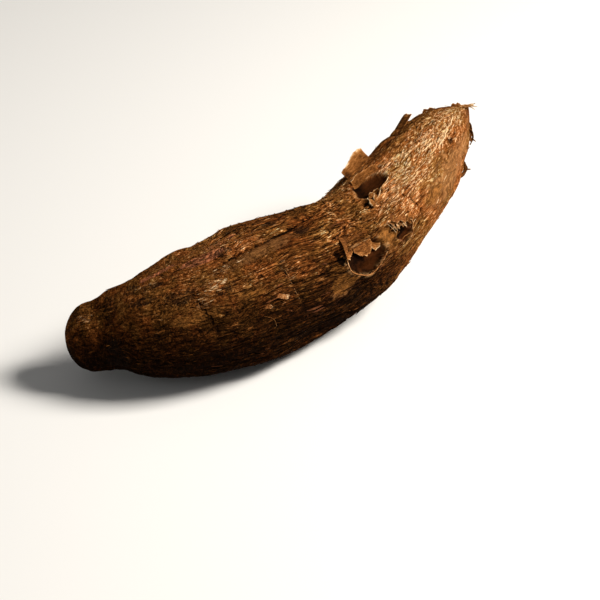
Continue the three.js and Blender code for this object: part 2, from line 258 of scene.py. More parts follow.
@dataclass
class RootForm:
    """The plain root: a bent spindle with swellings, grain, torn places and creases, all in millimetres."""

    pitch: float = 25.0
    stations: tuple[tuple[float, ...], ...] = (
        (-147.0, 38.5, 24.5, 16.5, 16.0),
        (-128.5, 23.0, 29.5, 20.0, 20.0),
        (-108.5, 8.5, 34.5, 29.0, 28.5),
        (-85.0, -1.0, 37.5, 35.5, 35.5),
        (-60.5, -4.0, 38.5, 38.5, 39.0),
        (-35.5, -4.0, 38.0, 38.5, 39.0),
        (-10.5, -3.5, 37.0, 37.0, 37.5),
        (14.0, -1.5, 37.0, 34.0, 34.5),
        (38.0, 2.0, 41.0, 31.5, 31.5),
        (61.0, 8.0, 48.0, 30.0, 30.0),
        (84.0, 14.5, 55.0, 28.0, 28.5),
        (106.5, 21.0, 63.0, 24.5, 25.0),
        (128.0, 26.0, 72.0, 19.0, 19.5),
        (150.5, 29.5, 81.5, 13.0, 13.0),
    )
    stub_cap: tuple[float, float, float] = (17.0, 2.3, 0.45)
    tip_cap: tuple[float, float, float] = (32.0, 1.6, 0.85)
    swells: tuple[Swell, ...] = (
        Swell(150, 48, 30, 28, -2.0),
        Swell(236, 38, 34, 30, -1.5),
        Swell(38, 62, 16, 28, 1.6),
        Swell(166, 287, 16, 26, 4.2),
        Swell(62, 288, 18, 26, 2.6),
        Swell(14, 84, 8, 34, 1.8),
        Swell(8, 205, 8, 42, 2.2),
        Swell(96, 18, 24, 26, 2.4),
        Swell(262, 150, 20, 40, 0.3),
        Swell(94, 60, 17, 24, -3.8),
        Swell(27, 72, 9, 30, 2.4),
        Swell(292, 56, 16, 30, -1.2),
        Swell(244, 42, 10, 26, -1.6),
        Swell(292, 200, 14, 30, -1.4),
    )
    lumps: Grain = Grain(46.0, 7, 1.2, 3)
    grain: tuple[Grain, ...] = (Grain(34.0, 26, 1.5, 11), Grain(17.0, 44, 0.9, 12))
    sway_length: float = 37.0
    sway_width: float = 0.16
    grain_fade: float = 26.0
    grain_full_radius: float = 36.0
    calm: tuple[float, float] = (14.0, 34.0)
    peels: tuple[Peel, ...] = (
        Peel(210, 97.5, 14.3, 14, 2.1, 0.9, 4.54),
        Peel(169, 154.2, 17.3, 14.8, 3.2, 1.7, 1.1, 0.5),
        Peel(204.5, 160, 7, 9.5, 2.6, 1.0, 3.1),
        Peel(236, 350, 13, 20, 2.0, 1.1, 0.9, 0.5),
        Peel(128, 16, 17, 15, 2.2, 1.3, 2.4, 0.5),
        Peel(46, 322, 10, 18, 1.6, 0.9, 4.0),
    )
    rim_place: float = 1.1
    rim_width: float = 0.2
    peel_slope: tuple[float, float] = (0.72, 1.02)
    creases: tuple[Crease, ...] = (
        Crease(23, 110, 200, 3, 1.3, 7),
        Crease(72, 150, 34, 2, 1.0, 4.5),
        Crease(115.5, 156, 34, 7, 1.0, 4.5),
        Crease(224, 150, 30, 3, 0.9, 4.5),
        Crease(180, 20, 50, 4, 1.1, 5),
        Crease(88, 345, 46, -4, 1.0, 5),
        Crease(262, 30, 60, 3, 0.9, 4.5),
    )
    fold_from: float = 80.0
    fold_to: float = 158.0
    fold_angles: tuple[float, float] = (109.0, 92.0)
    fold_depth: float = 2.0
    fold_width: float = 4.2
    fold_lip: float = 0.7

    @property
    def length(self) -> float:
        """The length of the middle line."""
        return self.pitch * (len(self.stations) - 1)

    def station(self, along: Array) -> Array:
        """The middle point and half sizes at some lengths: a smooth curve through the stations.

        Args:
            along: lengths from the stub.

        Returns:
            One row for each length: a point in three numbers, then two half sizes.
        """
        rows = np.array(self.stations)
        last = len(rows) - 1
        place = np.clip(np.asarray(along, float) / self.pitch, 0.0, last)
        i = np.minimum(place.astype(int), last - 1)
        t = (place - i)[..., None]
        a, b, c, d = (rows[np.clip(i + k, 0, last)] for k in (-1, 0, 1, 2))
        leave = np.where((i == 0)[..., None], c - b, (c - a) / 2.0)
        arrive = np.where((i == last - 1)[..., None], c - b, (d - b) / 2.0)
        start = (2 * t**3 - 3 * t**2 + 1) * b + (t**3 - 2 * t**2 + t) * leave
        return start + (3 * t**2 - 2 * t**3) * c + (t**3 - t**2) * arrive

    def axes(self, along: Array) -> Axes:
        """The middle line's points, half sizes and directions at some lengths.

        Args:
            along: lengths from the stub.

        Returns:
            The axes, one row for each length.
        """
        here = self.station(along)
        tangent = self.station(along + 0.5)[..., :3] - self.station(along - 0.5)[..., :3]
        tangent /= np.linalg.norm(tangent, axis=-1, keepdims=True)
        side = columns(-tangent[..., 1], tangent[..., 0], 0.0)
        side /= np.linalg.norm(side, axis=-1, keepdims=True)
        return Axes(here[..., :3], here[..., 3:], tangent, side, np.cross(tangent, side))

    def radius(self, along: Array) -> Array:
        """The mean radius of the plain spindle, without its closed ends."""
        return self.station(along)[..., 3:].mean(axis=-1)

    def closing(self, along: Array) -> Array:
        """How much of the full thickness is left near the two ends.

        Args:
            along: lengths from the stub.

        Returns:
            1 over most of the root, falling to 0 at its very ends.
        """
        full = 1.0
        for (reach, bend, power), away in ((self.stub_cap, along), (self.tip_cap, self.length - along)):
            full = full * (1.0 - (1.0 - np.clip(away / reach, 0.0, 1.0)) ** bend) ** power
        return full

    def calmness(self, angle: Array) -> Array:
        """0 on the part of the underside that rests on the floor, and 1 away from it."""
        return ease(*self.calm, np.abs(apart(angle, UNDERSIDE)))

    def grain_relief(self, along: Array, angle: Array, radius: Array) -> Array:
        """The broad lengthwise grain and the slow lumps.

        Args:
            along: lengths from the stub.
            angle: angles round the middle line.
            radius: the root's radius there.

        Returns:
            The height in millimetres at each place.
        """
        sway = self.sway_width * np.sin(along / self.sway_length)
        turns = angle / 360.0
        fade = ease(0, self.grain_fade, along) * ease(0, self.grain_fade, self.length - along)
        grain = sum(layer.at(along, turns + (sway + layer.seed) / layer.count) for layer in self.grain)
        thick = np.minimum(radius / self.grain_full_radius, 1.0)
        return self.calmness(angle) * (fade * thick * grain + self.lumps.at(along, turns))

    def fold_line(self, along: Array, angle: Array, radius: Array) -> tuple[Array, Array]:
        """How far in mm a place lies from the fold below the shoulder, and how much of the fold is there.

        Args:
            along: lengths from the stub.
            angle: angles round the middle line.
            radius: the root's radius there.

        Returns:
            Both values for each place.
        """
        t = (along - self.fold_from) / (self.fold_to - self.fold_from)
        line = lerp(*self.fold_angles, np.clip(t, 0.0, 1.0) ** 2)
        return np.radians(apart(angle, line)) * radius, ease(-0.08, 0.12, t) * (1.0 - ease(0.92, 1.1, t))

    def relief(self, along: Array, angle: Array) -> Array:
        """Everything in the CAD part that stands proud of the plain spindle, or is sunk below it.

        Args:
            along: lengths from the stub.
            angle: angles round the middle line.

        Returns:
            The height in millimetres at each place.
        """
        radius = self.radius(along)
        height = self.grain_relief(along, angle, radius)
        off, cover = self.fold_line(along, angle, radius)
        lip = self.fold_lip * bell((off + 1.5 * self.fold_width) / self.fold_width)
        height += cover * (lip - self.fold_depth * bell(off / self.fold_width))
        for swell in self.swells:
            height += swell.amount(along, angle)
        for peel in self.peels:
            reach = peel.reach(along, angle)
            height += peel.rim * bell((reach - self.rim_place) / self.rim_width)
            height -= peel.depth * (1.0 - ease(*self.peel_slope, reach))
        for crease in self.creases:
            height -= crease.depth * crease.cover(angle) * bell(crease.off_line(along, angle) / crease.width)
        return height

    def directions(self, along: Array, angle: Array) -> tuple[Array, Array, Array]:
        """The directions along the root, outwards and round it, at some places.

        Args:
            along: lengths from the stub.
            angle: angles round the middle line.

        Returns:
            The three directions, one row for each place.
        """
        axes, turn = self.axes(along), np.radians(angle)[..., None]
        out = axes.side * np.cos(turn) + axes.up * np.sin(turn)
        return axes.tangent, out, np.cross(axes.tangent, out)

    def point(
        self, along: Array, angle: Array, extra: Array | float = 0.0, outside: Array | float = 0.0
    ) -> Array:
        """Points of the bark in millimetres.

        Args:
            along: lengths from the stub.
            angle: angles round the middle line.
            extra: finer relief, which closes with the ends as the plain relief does.
            outside: how far out the points lie from the bark.

        Returns:
            One row of three numbers for each place.
        """
        axes, turn = self.axes(along), np.radians(angle)
        full = self.closing(along)
        grow = full * (self.relief(along, angle) + extra) + outside
        wide = ((axes.half[..., 0] * full + grow) * np.cos(turn))[..., None]
        high = ((axes.half[..., 1] * full + grow) * np.sin(turn))[..., None]
        return axes.middle + axes.side * wide + axes.up * high

    def straightened(self, along: Array, angle: Array) -> Array:
        """The places on a straight root of the same thickness, for patterns that follow the bark."""
        radius, turn = self.radius(along), np.radians(angle)
        return columns(along, radius * np.cos(turn), radius * np.sin(turn))


# The finer relief and the marks on the bark


class Mark(Enum):
    """What a marked place on the bark looks like. The value is the name of its mesh attribute."""

    SMOOTH = "smooth"
    SOOT = "soot"
    RUST = "rust"
    OCHRE = "ochre"
    SCRAPE = "scrape"
    # Pits are sunk and painted near-black, as painted shade in the hollow.
    SHADED_PIT = "pit"


@dataclass(frozen=True)
class Spot:
    """A marked place: where it is, its reach both ways, how strong it is and how far it leans."""

    mark: Mark
    at: float
    angle: float
    along: float
    round: float
    strength: float = 1.0
    lean: float = 0.0

    def amount(self, along: Array, angle: Array, ragged: Array) -> Array:
        """How much of the mark there is: its strength in the middle, fading to 0 at its ragged edge.

        Args:
            along: lengths from the stub.
            angle: angles round the middle line.
            ragged: noise from -1 to 1 for the edge.

        Returns:
            The amount at each place.
        """
        x = (along - self.at) / self.along
        y = (apart(angle, self.angle) - self.lean * (along - self.at)) / self.round
        return self.strength * (1.0 - ease(0.4, 1.3, np.hypot(x, y) * (1.0 + 0.35 * ragged)))


def alike(mark: Mark, *rows: tuple[float, ...]) -> tuple[Spot, ...]:
    """Places with the same mark, from the other values of each."""
    return tuple(Spot(mark, *row) for row in rows)


@dataclass(frozen=True)
class Band:
    """A change in a strip along the root, which sets in between two lengths."""

    angle: float
    round: float
    start: float
    full: float
    height: float

    def amount(self, along: Array, angle: Array) -> Array:
        """How much of the change there is at some places."""
        return self.height * ease(self.start, self.full, along) * bell(apart(angle, self.angle) / self.round)


@dataclass
class BarkSurface:
    """The finer relief of the bark over the root's form, and where its marks are.

    The profiles are pairs of a length along the root and a value there.
    """

    form: RootForm
    drift: tuple[Pattern, ...] = (Pattern(36.0, 17.0, 1, 2.8), Pattern(14.0, 7.0, 2, 0.7))
    plates: tuple[Pattern, ...] = (Pattern(44.0, 9.0, 5, 2.2), Pattern(12.0, 2.4, 6, 0.35))
    ridges: tuple[Pattern, ...] = (Pattern(52.0, 2.8, 7), Pattern(9.0, 1.6, 17, 0.12))
    thin_crevices: Pattern = Pattern(18.0, 1.9, 8)
    scales: Pattern = Pattern(6.5, 1.7, 9)
    fibres: Pattern = Pattern(17.0, 1.2, 10)
    knobs: tuple[Pattern, ...] = (Pattern(8.0, 8.0, 51), Pattern(3.6, 3.6, 52, 0.5))
    rough_patches: Pattern = Pattern(32.0, 13.0, 21)
    scaly_patches: Pattern = Pattern(22.0, 12.0, 22)
    tone_patches: Pattern = Pattern(42.0, 20.0, 41, 0.05)
    mark_edges: tuple[Pattern, ...] = (Pattern(5.5, 2.6, 33), Pattern(14.0, 7.0, 34))
    short_until: tuple[float, float] = (70.0, 130.0)
    shortening: float = 2.4
    plate_height: float = 0.75
    plate_edge: float = 0.16
    ridge_height: float = 0.9
    ridge_width: float = 0.34
    crevice_depth: float = 0.7
    crevice_width: float = 0.1
    fleck_height: float = 0.42
    fibre_height: float = 0.12
    knob_height: float = 0.9
    crack_depth: float = 0.7
    crack_reach: float = 5.0
    pit_depth: float = 1.7
    skin_edge: tuple[float, float] = (0.86, 1.0)
    torn_place: float = 1.03
    torn_width: float = 0.075
    knobs_fade: tuple[float, float] = (14.0, 46.0)
    neck: tuple[float, float] = (186.0, 222.0)
    neck_end: tuple[float, float] = (292.0, 318.0)
    body_to_neck: tuple[float, float] = (165.0, 228.0)
    # How much painted shade darkens the tone low on the near side and underside, on the body and on the neck.
    low_side_painted_shade: tuple[float, float] = (0.37, 0.07)
    sleek_side: Band = Band(174, 34, 212, 238, 0.85)
    tone_bands: tuple[Band | Swell, ...] = (
        Band(58, 26, 200, 235, -0.21),
        Band(92, 22, 150, 90, 0.05),
        Swell(276, 127, 17, 6, 0.14),
        Swell(136, 76, 30, 20, -0.19),
        Band(78, 20, 214, 246, -0.08),
    )
    tones: tuple[tuple[float, float], ...] = (
        (0, 0.34), (20, 0.35), (30, 0.32), (45, 0.38), (75, 0.38), (110, 0.35), (150, 0.33), (180, 0.39),
        (205, 0.50), (230, 0.60), (262, 0.64), (300, 0.62), (325, 0.60),
    )
    roughness: tuple[tuple[float, float], ...] = (
        (0, 0.25), (25, 0.4), (70, 0.55), (98, 0.9), (130, 1.0), (190, 1.0), (215, 0.7), (240, 0.35),
        (325, 0.25),
    )
    spots: tuple[Spot, ...] = (
        *alike(
            Mark.SMOOTH, (108, 113, 29, 9, 0.68, -0.18), (268, 166, 48, 24, 0.72),
            (243, 166, 14, 10, 0.75), (191, 150, 9, 7, 0.7), (146, 173, 16, 9, 0.5),
            (258, 20, 16, 16, 0.8), (70, 350, 22, 12, 0.9), (200, 300, 18, 14, 0.8),
        ),
        *alike(
            Mark.SOOT, (31, 116, 6, 34, 0.5), (30, 190, 8, 50, 0.55), (44, 100, 8, 12, 0.5),
            (56, 106.5, 4, 4, 0.8), (47.7, 121, 6, 6, 0.6), (64, 129, 10, 9, 0.56), (82, 134, 8, 5, 0.5),
            (89, 100, 6, 4, 0.7), (122, 90, 7, 5, 0.7), (137, 107, 6, 6, 1.0), (110, 64, 8, 5, 0.55),
            (281, 139, 3.5, 5, 0.9), (150, 10, 14, 9, 0.8), (60, 20, 12, 12, 0.8),
            (215, 330, 14, 12, 0.8),
        ),
        *alike(
            Mark.RUST, (53, 91, 6, 3.5, 0.75), (62, 88, 8, 4, 0.9), (80, 97.5, 9, 5, 1.6),
            (92, 84, 16, 6, 0.45), (204, 160, 9, 9, 0.6), (100, 20, 18, 9, 0.7), (232, 12, 16, 12, 0.7),
        ),
        *alike(
            Mark.OCHRE, (10.7, 123.5, 2.5, 4, 1.0), (66, 151, 12, 5, 0.9), (56.7, 114.5, 7, 4, 1.0),
            (75, 121, 8, 5, 0.6), (92, 145, 8, 5, 0.9), (194, 150, 12, 10, 0.9), (148, 168, 14, 10, 0.8),
            (241, 163, 13, 9, 1.1), (176, 128, 14, 10, 0.5), (40, 60, 12, 10, 0.6),
            (120, 340, 18, 12, 0.7),
        ),
        *alike(
            Mark.SCRAPE, (83, 116.5, 7, 4, 1.0, -0.5), (77.5, 127, 6, 5, 1.0, -0.5), (72, 138, 3, 8, 1.0),
            (51.7, 102, 5, 4, 0.8), (113, 140, 3, 9, 0.8), (91, 113, 6, 4, 0.8), (122, 82, 8, 4, 0.4),
            (15, 114, 4, 7, 0.5),
        ),
        # Pits, sunk and painted near-black as painted shade; the one at 149.5 by 146 also stands for the
        # shadow that the ear of the round peel casts, as painted shadow.
        *alike(
            Mark.SHADED_PIT, (194.8, 113, 4.2, 5, 1.0), (149.5, 146, 2.6, 9, 0.9), (174.5, 149, 3.5, 4.5, 1.0),
            (203, 158, 5, 6, 0.9), (198.5, 146.5, 2, 5, 0.9), (131, 12, 6, 6, 0.8),
        ),
    )

    def marked(self, mark: Mark, along: Array, angle: Array, points: Array) -> Array:
        """How much of one mark there is at each place, from 0 to 1.

        Args:
            mark: the mark.
            along: lengths from the stub.
            angle: angles round the middle line.
            points: the same places on a straight root.

        Returns:
            The amount at each place.
        """
        ragged = summed(self.mark_edges, points)
        amounts = [spot.amount(along, angle, ragged) for spot in self.spots if spot.mark is mark]
        return np.clip(np.max(amounts, axis=0), 0.0, 1.0)

    def skin(self, along: Array, angle: Array) -> Array:
        """1 inside the torn places, where the skin is bare."""
        reaches = np.array([peel.reach(along, angle) for peel in self.form.peels])
        return np.max(1.0 - ease(*self.skin_edge, reaches), axis=0)

    def glow(self, along: Array, angle: Array) -> Array:
        """How red the bare skin is: from 0 at the stub's end of each torn place to 1 at its other end.

        Args:
            along: lengths from the stub.
            angle: angles round the middle line.

        Returns:
            The redness at each place.
        """
        shares = [
            np.where(peel.reach(along, angle) < 1.2, (along - peel.at) / peel.along, -1.0)
            for peel in self.form.peels
        ]
        return ease(-0.9, 0.9, np.max(shares, axis=0))

    def torn_edge(self, along: Array, angle: Array) -> Array:
        """1 on the thin broken edge round a torn place."""
        off = [(peel.reach(along, angle) - self.torn_place) / self.torn_width for peel in self.form.peels]
        return np.max(bell(np.array(off)), axis=0)

    def cracks(self, along: Array, angle: Array) -> Array:
        """How near the cracks are that run round the root and along the fold: 1 on them, 0 some way off.

        Args:
            along: lengths from the stub.
            angle: angles round the middle line.

        Returns:
            The nearness at each place.
        """
        found = [
            crease.cover(angle) * (1.0 - np.abs(crease.off_line(along, angle)) / self.crack_reach)
            for crease in self.form.creases
        ]
        off, cover = self.form.fold_line(along, angle, self.form.radius(along))
        found.append(cover * (1.0 - np.abs(off) / self.crack_reach))
        return np.clip(np.max(found, axis=0), 0.0, 1.0) * ease(34, 46, along)

    def drifted(self, along: Array, angle: Array) -> Array:
        """How far in mm the bark's fibres have wandered round the root at each place."""
        return summed(self.drift, self.form.straightened(along, angle))

    def flow(self, along: Array, angle: Array) -> Array:
        """The places on a straight root whose fibres run straight, for patterns that follow the fibres.

        They are drawn out near the stub, where the pattern of the bark is shorter.

        Args:
            along: lengths from the stub.
            angle: angles round the middle line.

        Returns:
            One point in millimetres for each place.
        """
        bend = np.degrees(self.drifted(along, angle) / self.form.radius(along))
        places = self.form.straightened(along, angle + bend)
        start, end = self.short_until
        t = np.clip((along - start) / (end - start), 0.0, 1.0)
        passed = (end - start) * (t**3 - t**4 / 2.0) + np.maximum(along - end, 0.0)
        places[..., 0] += self.shortening * (along - passed)
        return places

    def fleck_cover(self, along: Array, angle: Array, points: Array) -> Array:
        """How scaly the neck is: most in a band on its upper near side.

        Args:
            along: lengths from the stub.
            angle: angles round the middle line.
            points: the same places on a straightened root.

        Returns:
            The amount at each place, from 0 to 1.
        """
        zone = ease(*self.neck, along) * (1.0 - 0.6 * ease(*self.neck_end, along))
        band = bell(apart(angle, 114) / 26.0) + 0.5 * bell(apart(angle, 290) / 46.0)
        patchy = ease(-0.5, 0.35, self.scaly_patches.at(points))
        sleek = 1.0 - self.sleek_side.amount(along, angle)
        return np.clip(zone * (0.12 + 0.9 * band) * lerp(0.5, 1.0, patchy) * sleek, 0.0, 1.0)

    def tone(self, along: Array, angle: Array, points: Array, fleck: Array) -> Array:
        """How light the bark is: dark by the stub, golden on the neck, and darker low down with painted
        shade.

        Args:
            along: lengths from the stub.
            angle: angles round the middle line.
            points: the same places on a straightened root.
            fleck: how scaly the bark is there.

        Returns:
            The tone at each place, from 0 to 1.
        """
        tone = np.interp(along, *zip(*self.tones)) + self.tone_patches.at(points) + 0.06 * fleck
        for band in self.tone_bands:
            tone += band.amount(along, angle)
        # Painted shade: the tone is darker low on the near side and the underside, more on the body than on
        # the neck.
        turn = angle % 360.0 - 16.0 * (1.0 - ease(60, 110, along))
        low = (0.55 * ease(112, 168, turn) + 0.45 * ease(160, 200, turn)) * (1.0 - ease(322, 350, turn))
        darker = lerp(*self.low_side_painted_shade, ease(*self.body_to_neck, along))
        return np.clip(tone - low * darker, 0.0, 1.0)

    def dim(self, along: Array, angle: Array) -> Array:
        """How much painted shade darkens the bark: most low on the body, and not at all on the neck.

        Args:
            along: lengths from the stub.
            angle: angles round the middle line.

        Returns:
            The painted shade at each place, from 0 to 1.
        """
        turn = angle % 360.0
        low = ease(118, 184, turn) * (1.0 - ease(318, 350, turn))
        return low * (1.0 - ease(165, 225, along))

    def fibre_relief(self, flow: Array, ridged: Array, fleck: Array, plain: Array) -> Array:
        """The height in millimetres of the plates, ridges, crevices, scales and fibres.

        Args:
            flow: the places, on a straight root whose fibres run straight.
            ridged: how split the bark is there.
            fleck: how scaly it is.
            plain: how free it is of bare skin and smooth patches.

        Returns:
            The height at each place.
        """
        step = summed(self.plates, flow)
        part = step - np.floor(step)
        plates = ease(0.0, self.plate_edge, part) - part
        ridge = summed(self.ridges, flow)
        ridges = np.minimum(np.abs(ridge) / self.ridge_width, 1.0) ** 0.7
        thin = bell(self.thin_crevices.at(flow) / self.crevice_width)
        scaly = ease(-0.04, 0.16, self.scales.at(flow))
        relief = ridged * (self.plate_height * plates + self.ridge_height * (ridges - 0.6))
        relief -= ridged * self.crevice_depth * (bell(ridge / self.crevice_width) + 0.4 * thin)
        relief += fleck * self.fleck_height * (scaly - 0.5) + plain * self.fibre_height * self.fibres.at(flow)
        return relief

    def layers(self, along: Array, angle: Array) -> dict[str, Array]:
        """The finer relief and the marks at some places.

        Args:
            along: lengths from the stub.
            angle: angles round the middle line.

        Returns:
            "relief" in millimetres, and values from 0 to 1: "height", "ridged", "fleck", "tone", "skin",
            "torn", "glow", "crack", "dim" and one for each Mark.
        """
        points = self.form.straightened(along, angle)
        marks = {mark.value: self.marked(mark, along, angle, points) for mark in Mark}
        skin = self.skin(along, angle)
        plain = (1.0 - 0.94 * skin) * (1.0 - 0.85 * marks["smooth"])
        patchy = ease(-0.45, 0.2, self.rough_patches.at(points) + 0.1)
        ridged = np.interp(along, *zip(*self.roughness)) * lerp(0.45, 1.0, patchy) * plain
        fleck = self.fleck_cover(along, angle, points) * plain
        crack = self.cracks(along, angle) * (1.0 - skin)

        relief = self.fibre_relief(self.flow(along, angle), ridged, fleck, plain)
        relief -= self.crack_depth * ease(0.6, 1.0, crack) + self.pit_depth * marks["pit"]
        relief += self.knob_height * summed(self.knobs, points) * (1.0 - ease(*self.knobs_fade, along))
        fade = ease(0, 12, along) * ease(0, 10, self.form.length - along)
        calm = ease(12, 30, np.abs(apart(angle, UNDERSIDE)))
        return {
            "relief": relief * lerp(0.5, 1.0, fade) * calm,
            # height is what the material's painted shade in the hollows and painted highlight on the rises
            # follow.
            "height": np.clip(0.5 + 0.42 * relief, 0.0, 1.0),
            "ridged": ridged,
            "fleck": fleck,
            "tone": self.tone(along, angle, points, fleck),
            "skin": skin,
            "torn": self.torn_edge(along, angle),
            "glow": self.glow(along, angle),
            "crack": crack,
            "dim": self.dim(along, angle),
            **marks,
        }


# Mesh helpers


def start_clean() -> None:
    """Leaves edit mode and deselects everything, so that the next operator acts on its own piece alone."""
    if bpy.context.object and bpy.context.object.mode != "OBJECT":
        bpy.ops.object.mode_set(mode="OBJECT")
    bpy.ops.object.select_all(action="DESELECT")


def select_only(piece: bpy.types.Object) -> None:
    """Selects one piece and nothing else, and makes it the active one.

    Args:
        piece: the piece.
    """
    start_clean()
    piece.select_set(True)
    bpy.context.view_layer.objects.active = piece


@contextmanager
def editing() -> Iterator[None]:
    """Edit mode on the active piece with all of it selected, and object mode again afterwards."""
    bpy.ops.object.mode_set(mode="EDIT")
    bpy.ops.mesh.select_all(action="SELECT")
    yield
    bpy.ops.object.mode_set(mode="OBJECT")


def mesh_points(piece: bpy.types.Object) -> Array:
    """The vertices of a piece, one row each.

    Args:
        piece: the piece.

    Returns:
        Their places in metres.
    """
    flat = np.empty(len(piece.data.vertices) * 3)
    piece.data.vertices.foreach_get("co", flat)
    return flat.reshape(-1, 3)


def set_points(piece: bpy.types.Object, points: Array) -> None:
    """Moves the vertices of a piece to these points, in metres."""
    piece.data.vertices.foreach_set("co", np.ascontiguousarray(points, np.float32).ravel())
    piece.data.update()


def set_values(piece: bpy.types.Object, **values: Array | float) -> None:
    """Gives each vertex of a piece named values, or a named vector where they have three columns.

    Args:
        piece: the piece.
        values: what each vertex gets, or one number for all, by name.
    """
    count = len(piece.data.vertices)
    for name, value in values.items():
        plain = np.ndim(value) < 2
        kind, key, shape = ("FLOAT", "value", (count,)) if plain else ("FLOAT_VECTOR", "vector", (count, 3))
        attribute = piece.data.attributes.new(name, kind, "POINT")
        attribute.data.foreach_set(key, np.broadcast_to(value, shape).astype(np.float32).ravel())


def smooth(piece: bpy.types.Object, angle: float | None = None) -> None:
    """Shades a piece smooth, all over or where its faces meet at less than an angle in degrees.

    Args:
        piece: the piece.
        angle: the angle from which an edge stays sharp, or None for no sharp edge.
    """
    select_only(piece)
    if angle is None:
        bpy.ops.object.shade_smooth()
    else:
        bpy.ops.object.shade_smooth_by_angle(angle=math.radians(angle))


def thicken(sheet: bpy.types.Object, thickness: float) -> None:
    """Gives a sheet its thickness in millimetres, half to each side.

    Args:
        sheet: the sheet.
        thickness: how thick it becomes.
    """
    wall = sheet.modifiers.new("wall", "SOLIDIFY")
    wall.thickness, wall.offset = thickness * MM, 0.0
    select_only(sheet)
    bpy.ops.object.modifier_apply(modifier=wall.name)


def dress(piece: bpy.types.Object, material: bpy.types.Material) -> None:
    """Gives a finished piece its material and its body.

    Args:
        piece: the piece.
        material: the one material that it has.
    """
    piece.data.materials.clear()
    piece.data.materials.append(material)
    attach(piece, BODY)
    LOG.info("%s: %d faces", piece.name, len(piece.data.polygons))


def new_grid(name: str, across: int, ahead: int) -> bpy.types.Object:
    """A flat grid of 1 by 1 in the middle of the frame, with this many faces each way.

    Args:
        name: the name of what is made.
        across: its faces along X.
        ahead: its faces along Y.

    Returns:
        The grid, which is the active object.
    """
    start_clean()
    bpy.ops.mesh.primitive_grid_add(x_subdivisions=across, y_subdivisions=ahead, size=1.0)
    grid = bpy.context.object
    grid.name = grid.data.name = name
    return grid


def closed_blade(name: str, across: int, ahead: int) -> bpy.types.Object:
    """A closed blade of 1 by 1, with a sharp edge all round. Its upper side is at 1 and its lower at -1.

    Args:
        name: the name of what is made.
        across: its faces along X.
        ahead: its faces along Y.

    Returns:
        The blade, whose length runs along Y.
    """
    blade = new_grid(name, across, ahead)
    with editing():
        bpy.ops.mesh.extrude_region_move(TRANSFORM_OT_translate={"value": (0.0, 0.0, 2.0)})
        bpy.ops.mesh.select_all(action="SELECT")
        bpy.ops.transform.translate(value=(0.0, 0.0, -1.0))
    points = mesh_points(blade)
    rim = np.max(np.abs(points[:, :2]), axis=1) > 0.499
    points[rim, 2] = 0.0
    set_points(blade, points)
    with editing():
        bpy.ops.mesh.remove_doubles(threshold=1e-4)
        bpy.ops.mesh.dissolve_degenerate(threshold=1e-5)
        bpy.ops.mesh.normals_make_consistent(inside=False)
    return blade


def repeated(name: str, model: bpy.types.Object, points: Array) -> bpy.types.Object:
    """One piece made of many copies of a modelled shape, which is deleted.

    Args:
        name: the name of the new piece.
        model: the shape that is repeated.
        points: for each copy, the place of each of the shape's vertices, in metres.

    Returns:
        The new piece, with all the copies in its own mesh.
    """
    count, size = points.shape[:2]
    loops = np.empty(len(model.data.loops), np.int32)
    model.data.loops.foreach_get("vertex_index", loops)
    totals = np.empty(len(model.data.polygons), np.int32)
    model.data.polygons.foreach_get("loop_total", totals)
    corners = (loops[None, :] + size * np.arange(count, dtype=np.int32)[:, None]).ravel()
    sides = np.tile(totals, count)
    mesh = bpy.data.meshes.new(name)
    mesh.vertices.add(count * size)
    mesh.vertices.foreach_set("co", np.ascontiguousarray(points, np.float32).ravel())
    mesh.loops.add(len(corners))
    mesh.loops.foreach_set("vertex_index", corners)
    mesh.polygons.add(len(sides))
    mesh.polygons.foreach_set("loop_start", np.concatenate([[0], np.cumsum(sides)[:-1]]).astype(np.int32))
    mesh.polygons.foreach_set("loop_total", sides)
    mesh.update(calc_edges=True)
    mesh.validate()
    piece = bpy.data.objects.new(name, mesh)
    bpy.context.scene.collection.objects.link(piece)
    bpy.data.objects.remove(model, do_unlink=True)
    return piece


# Materials

Colour = tuple[float, float, float]
Socket = bpy.types.NodeSocket
Cells = tuple[float, float]
PATTERN_INPUTS = {"Vector": "Vector", "Length": "Float", "Width": "Float"}


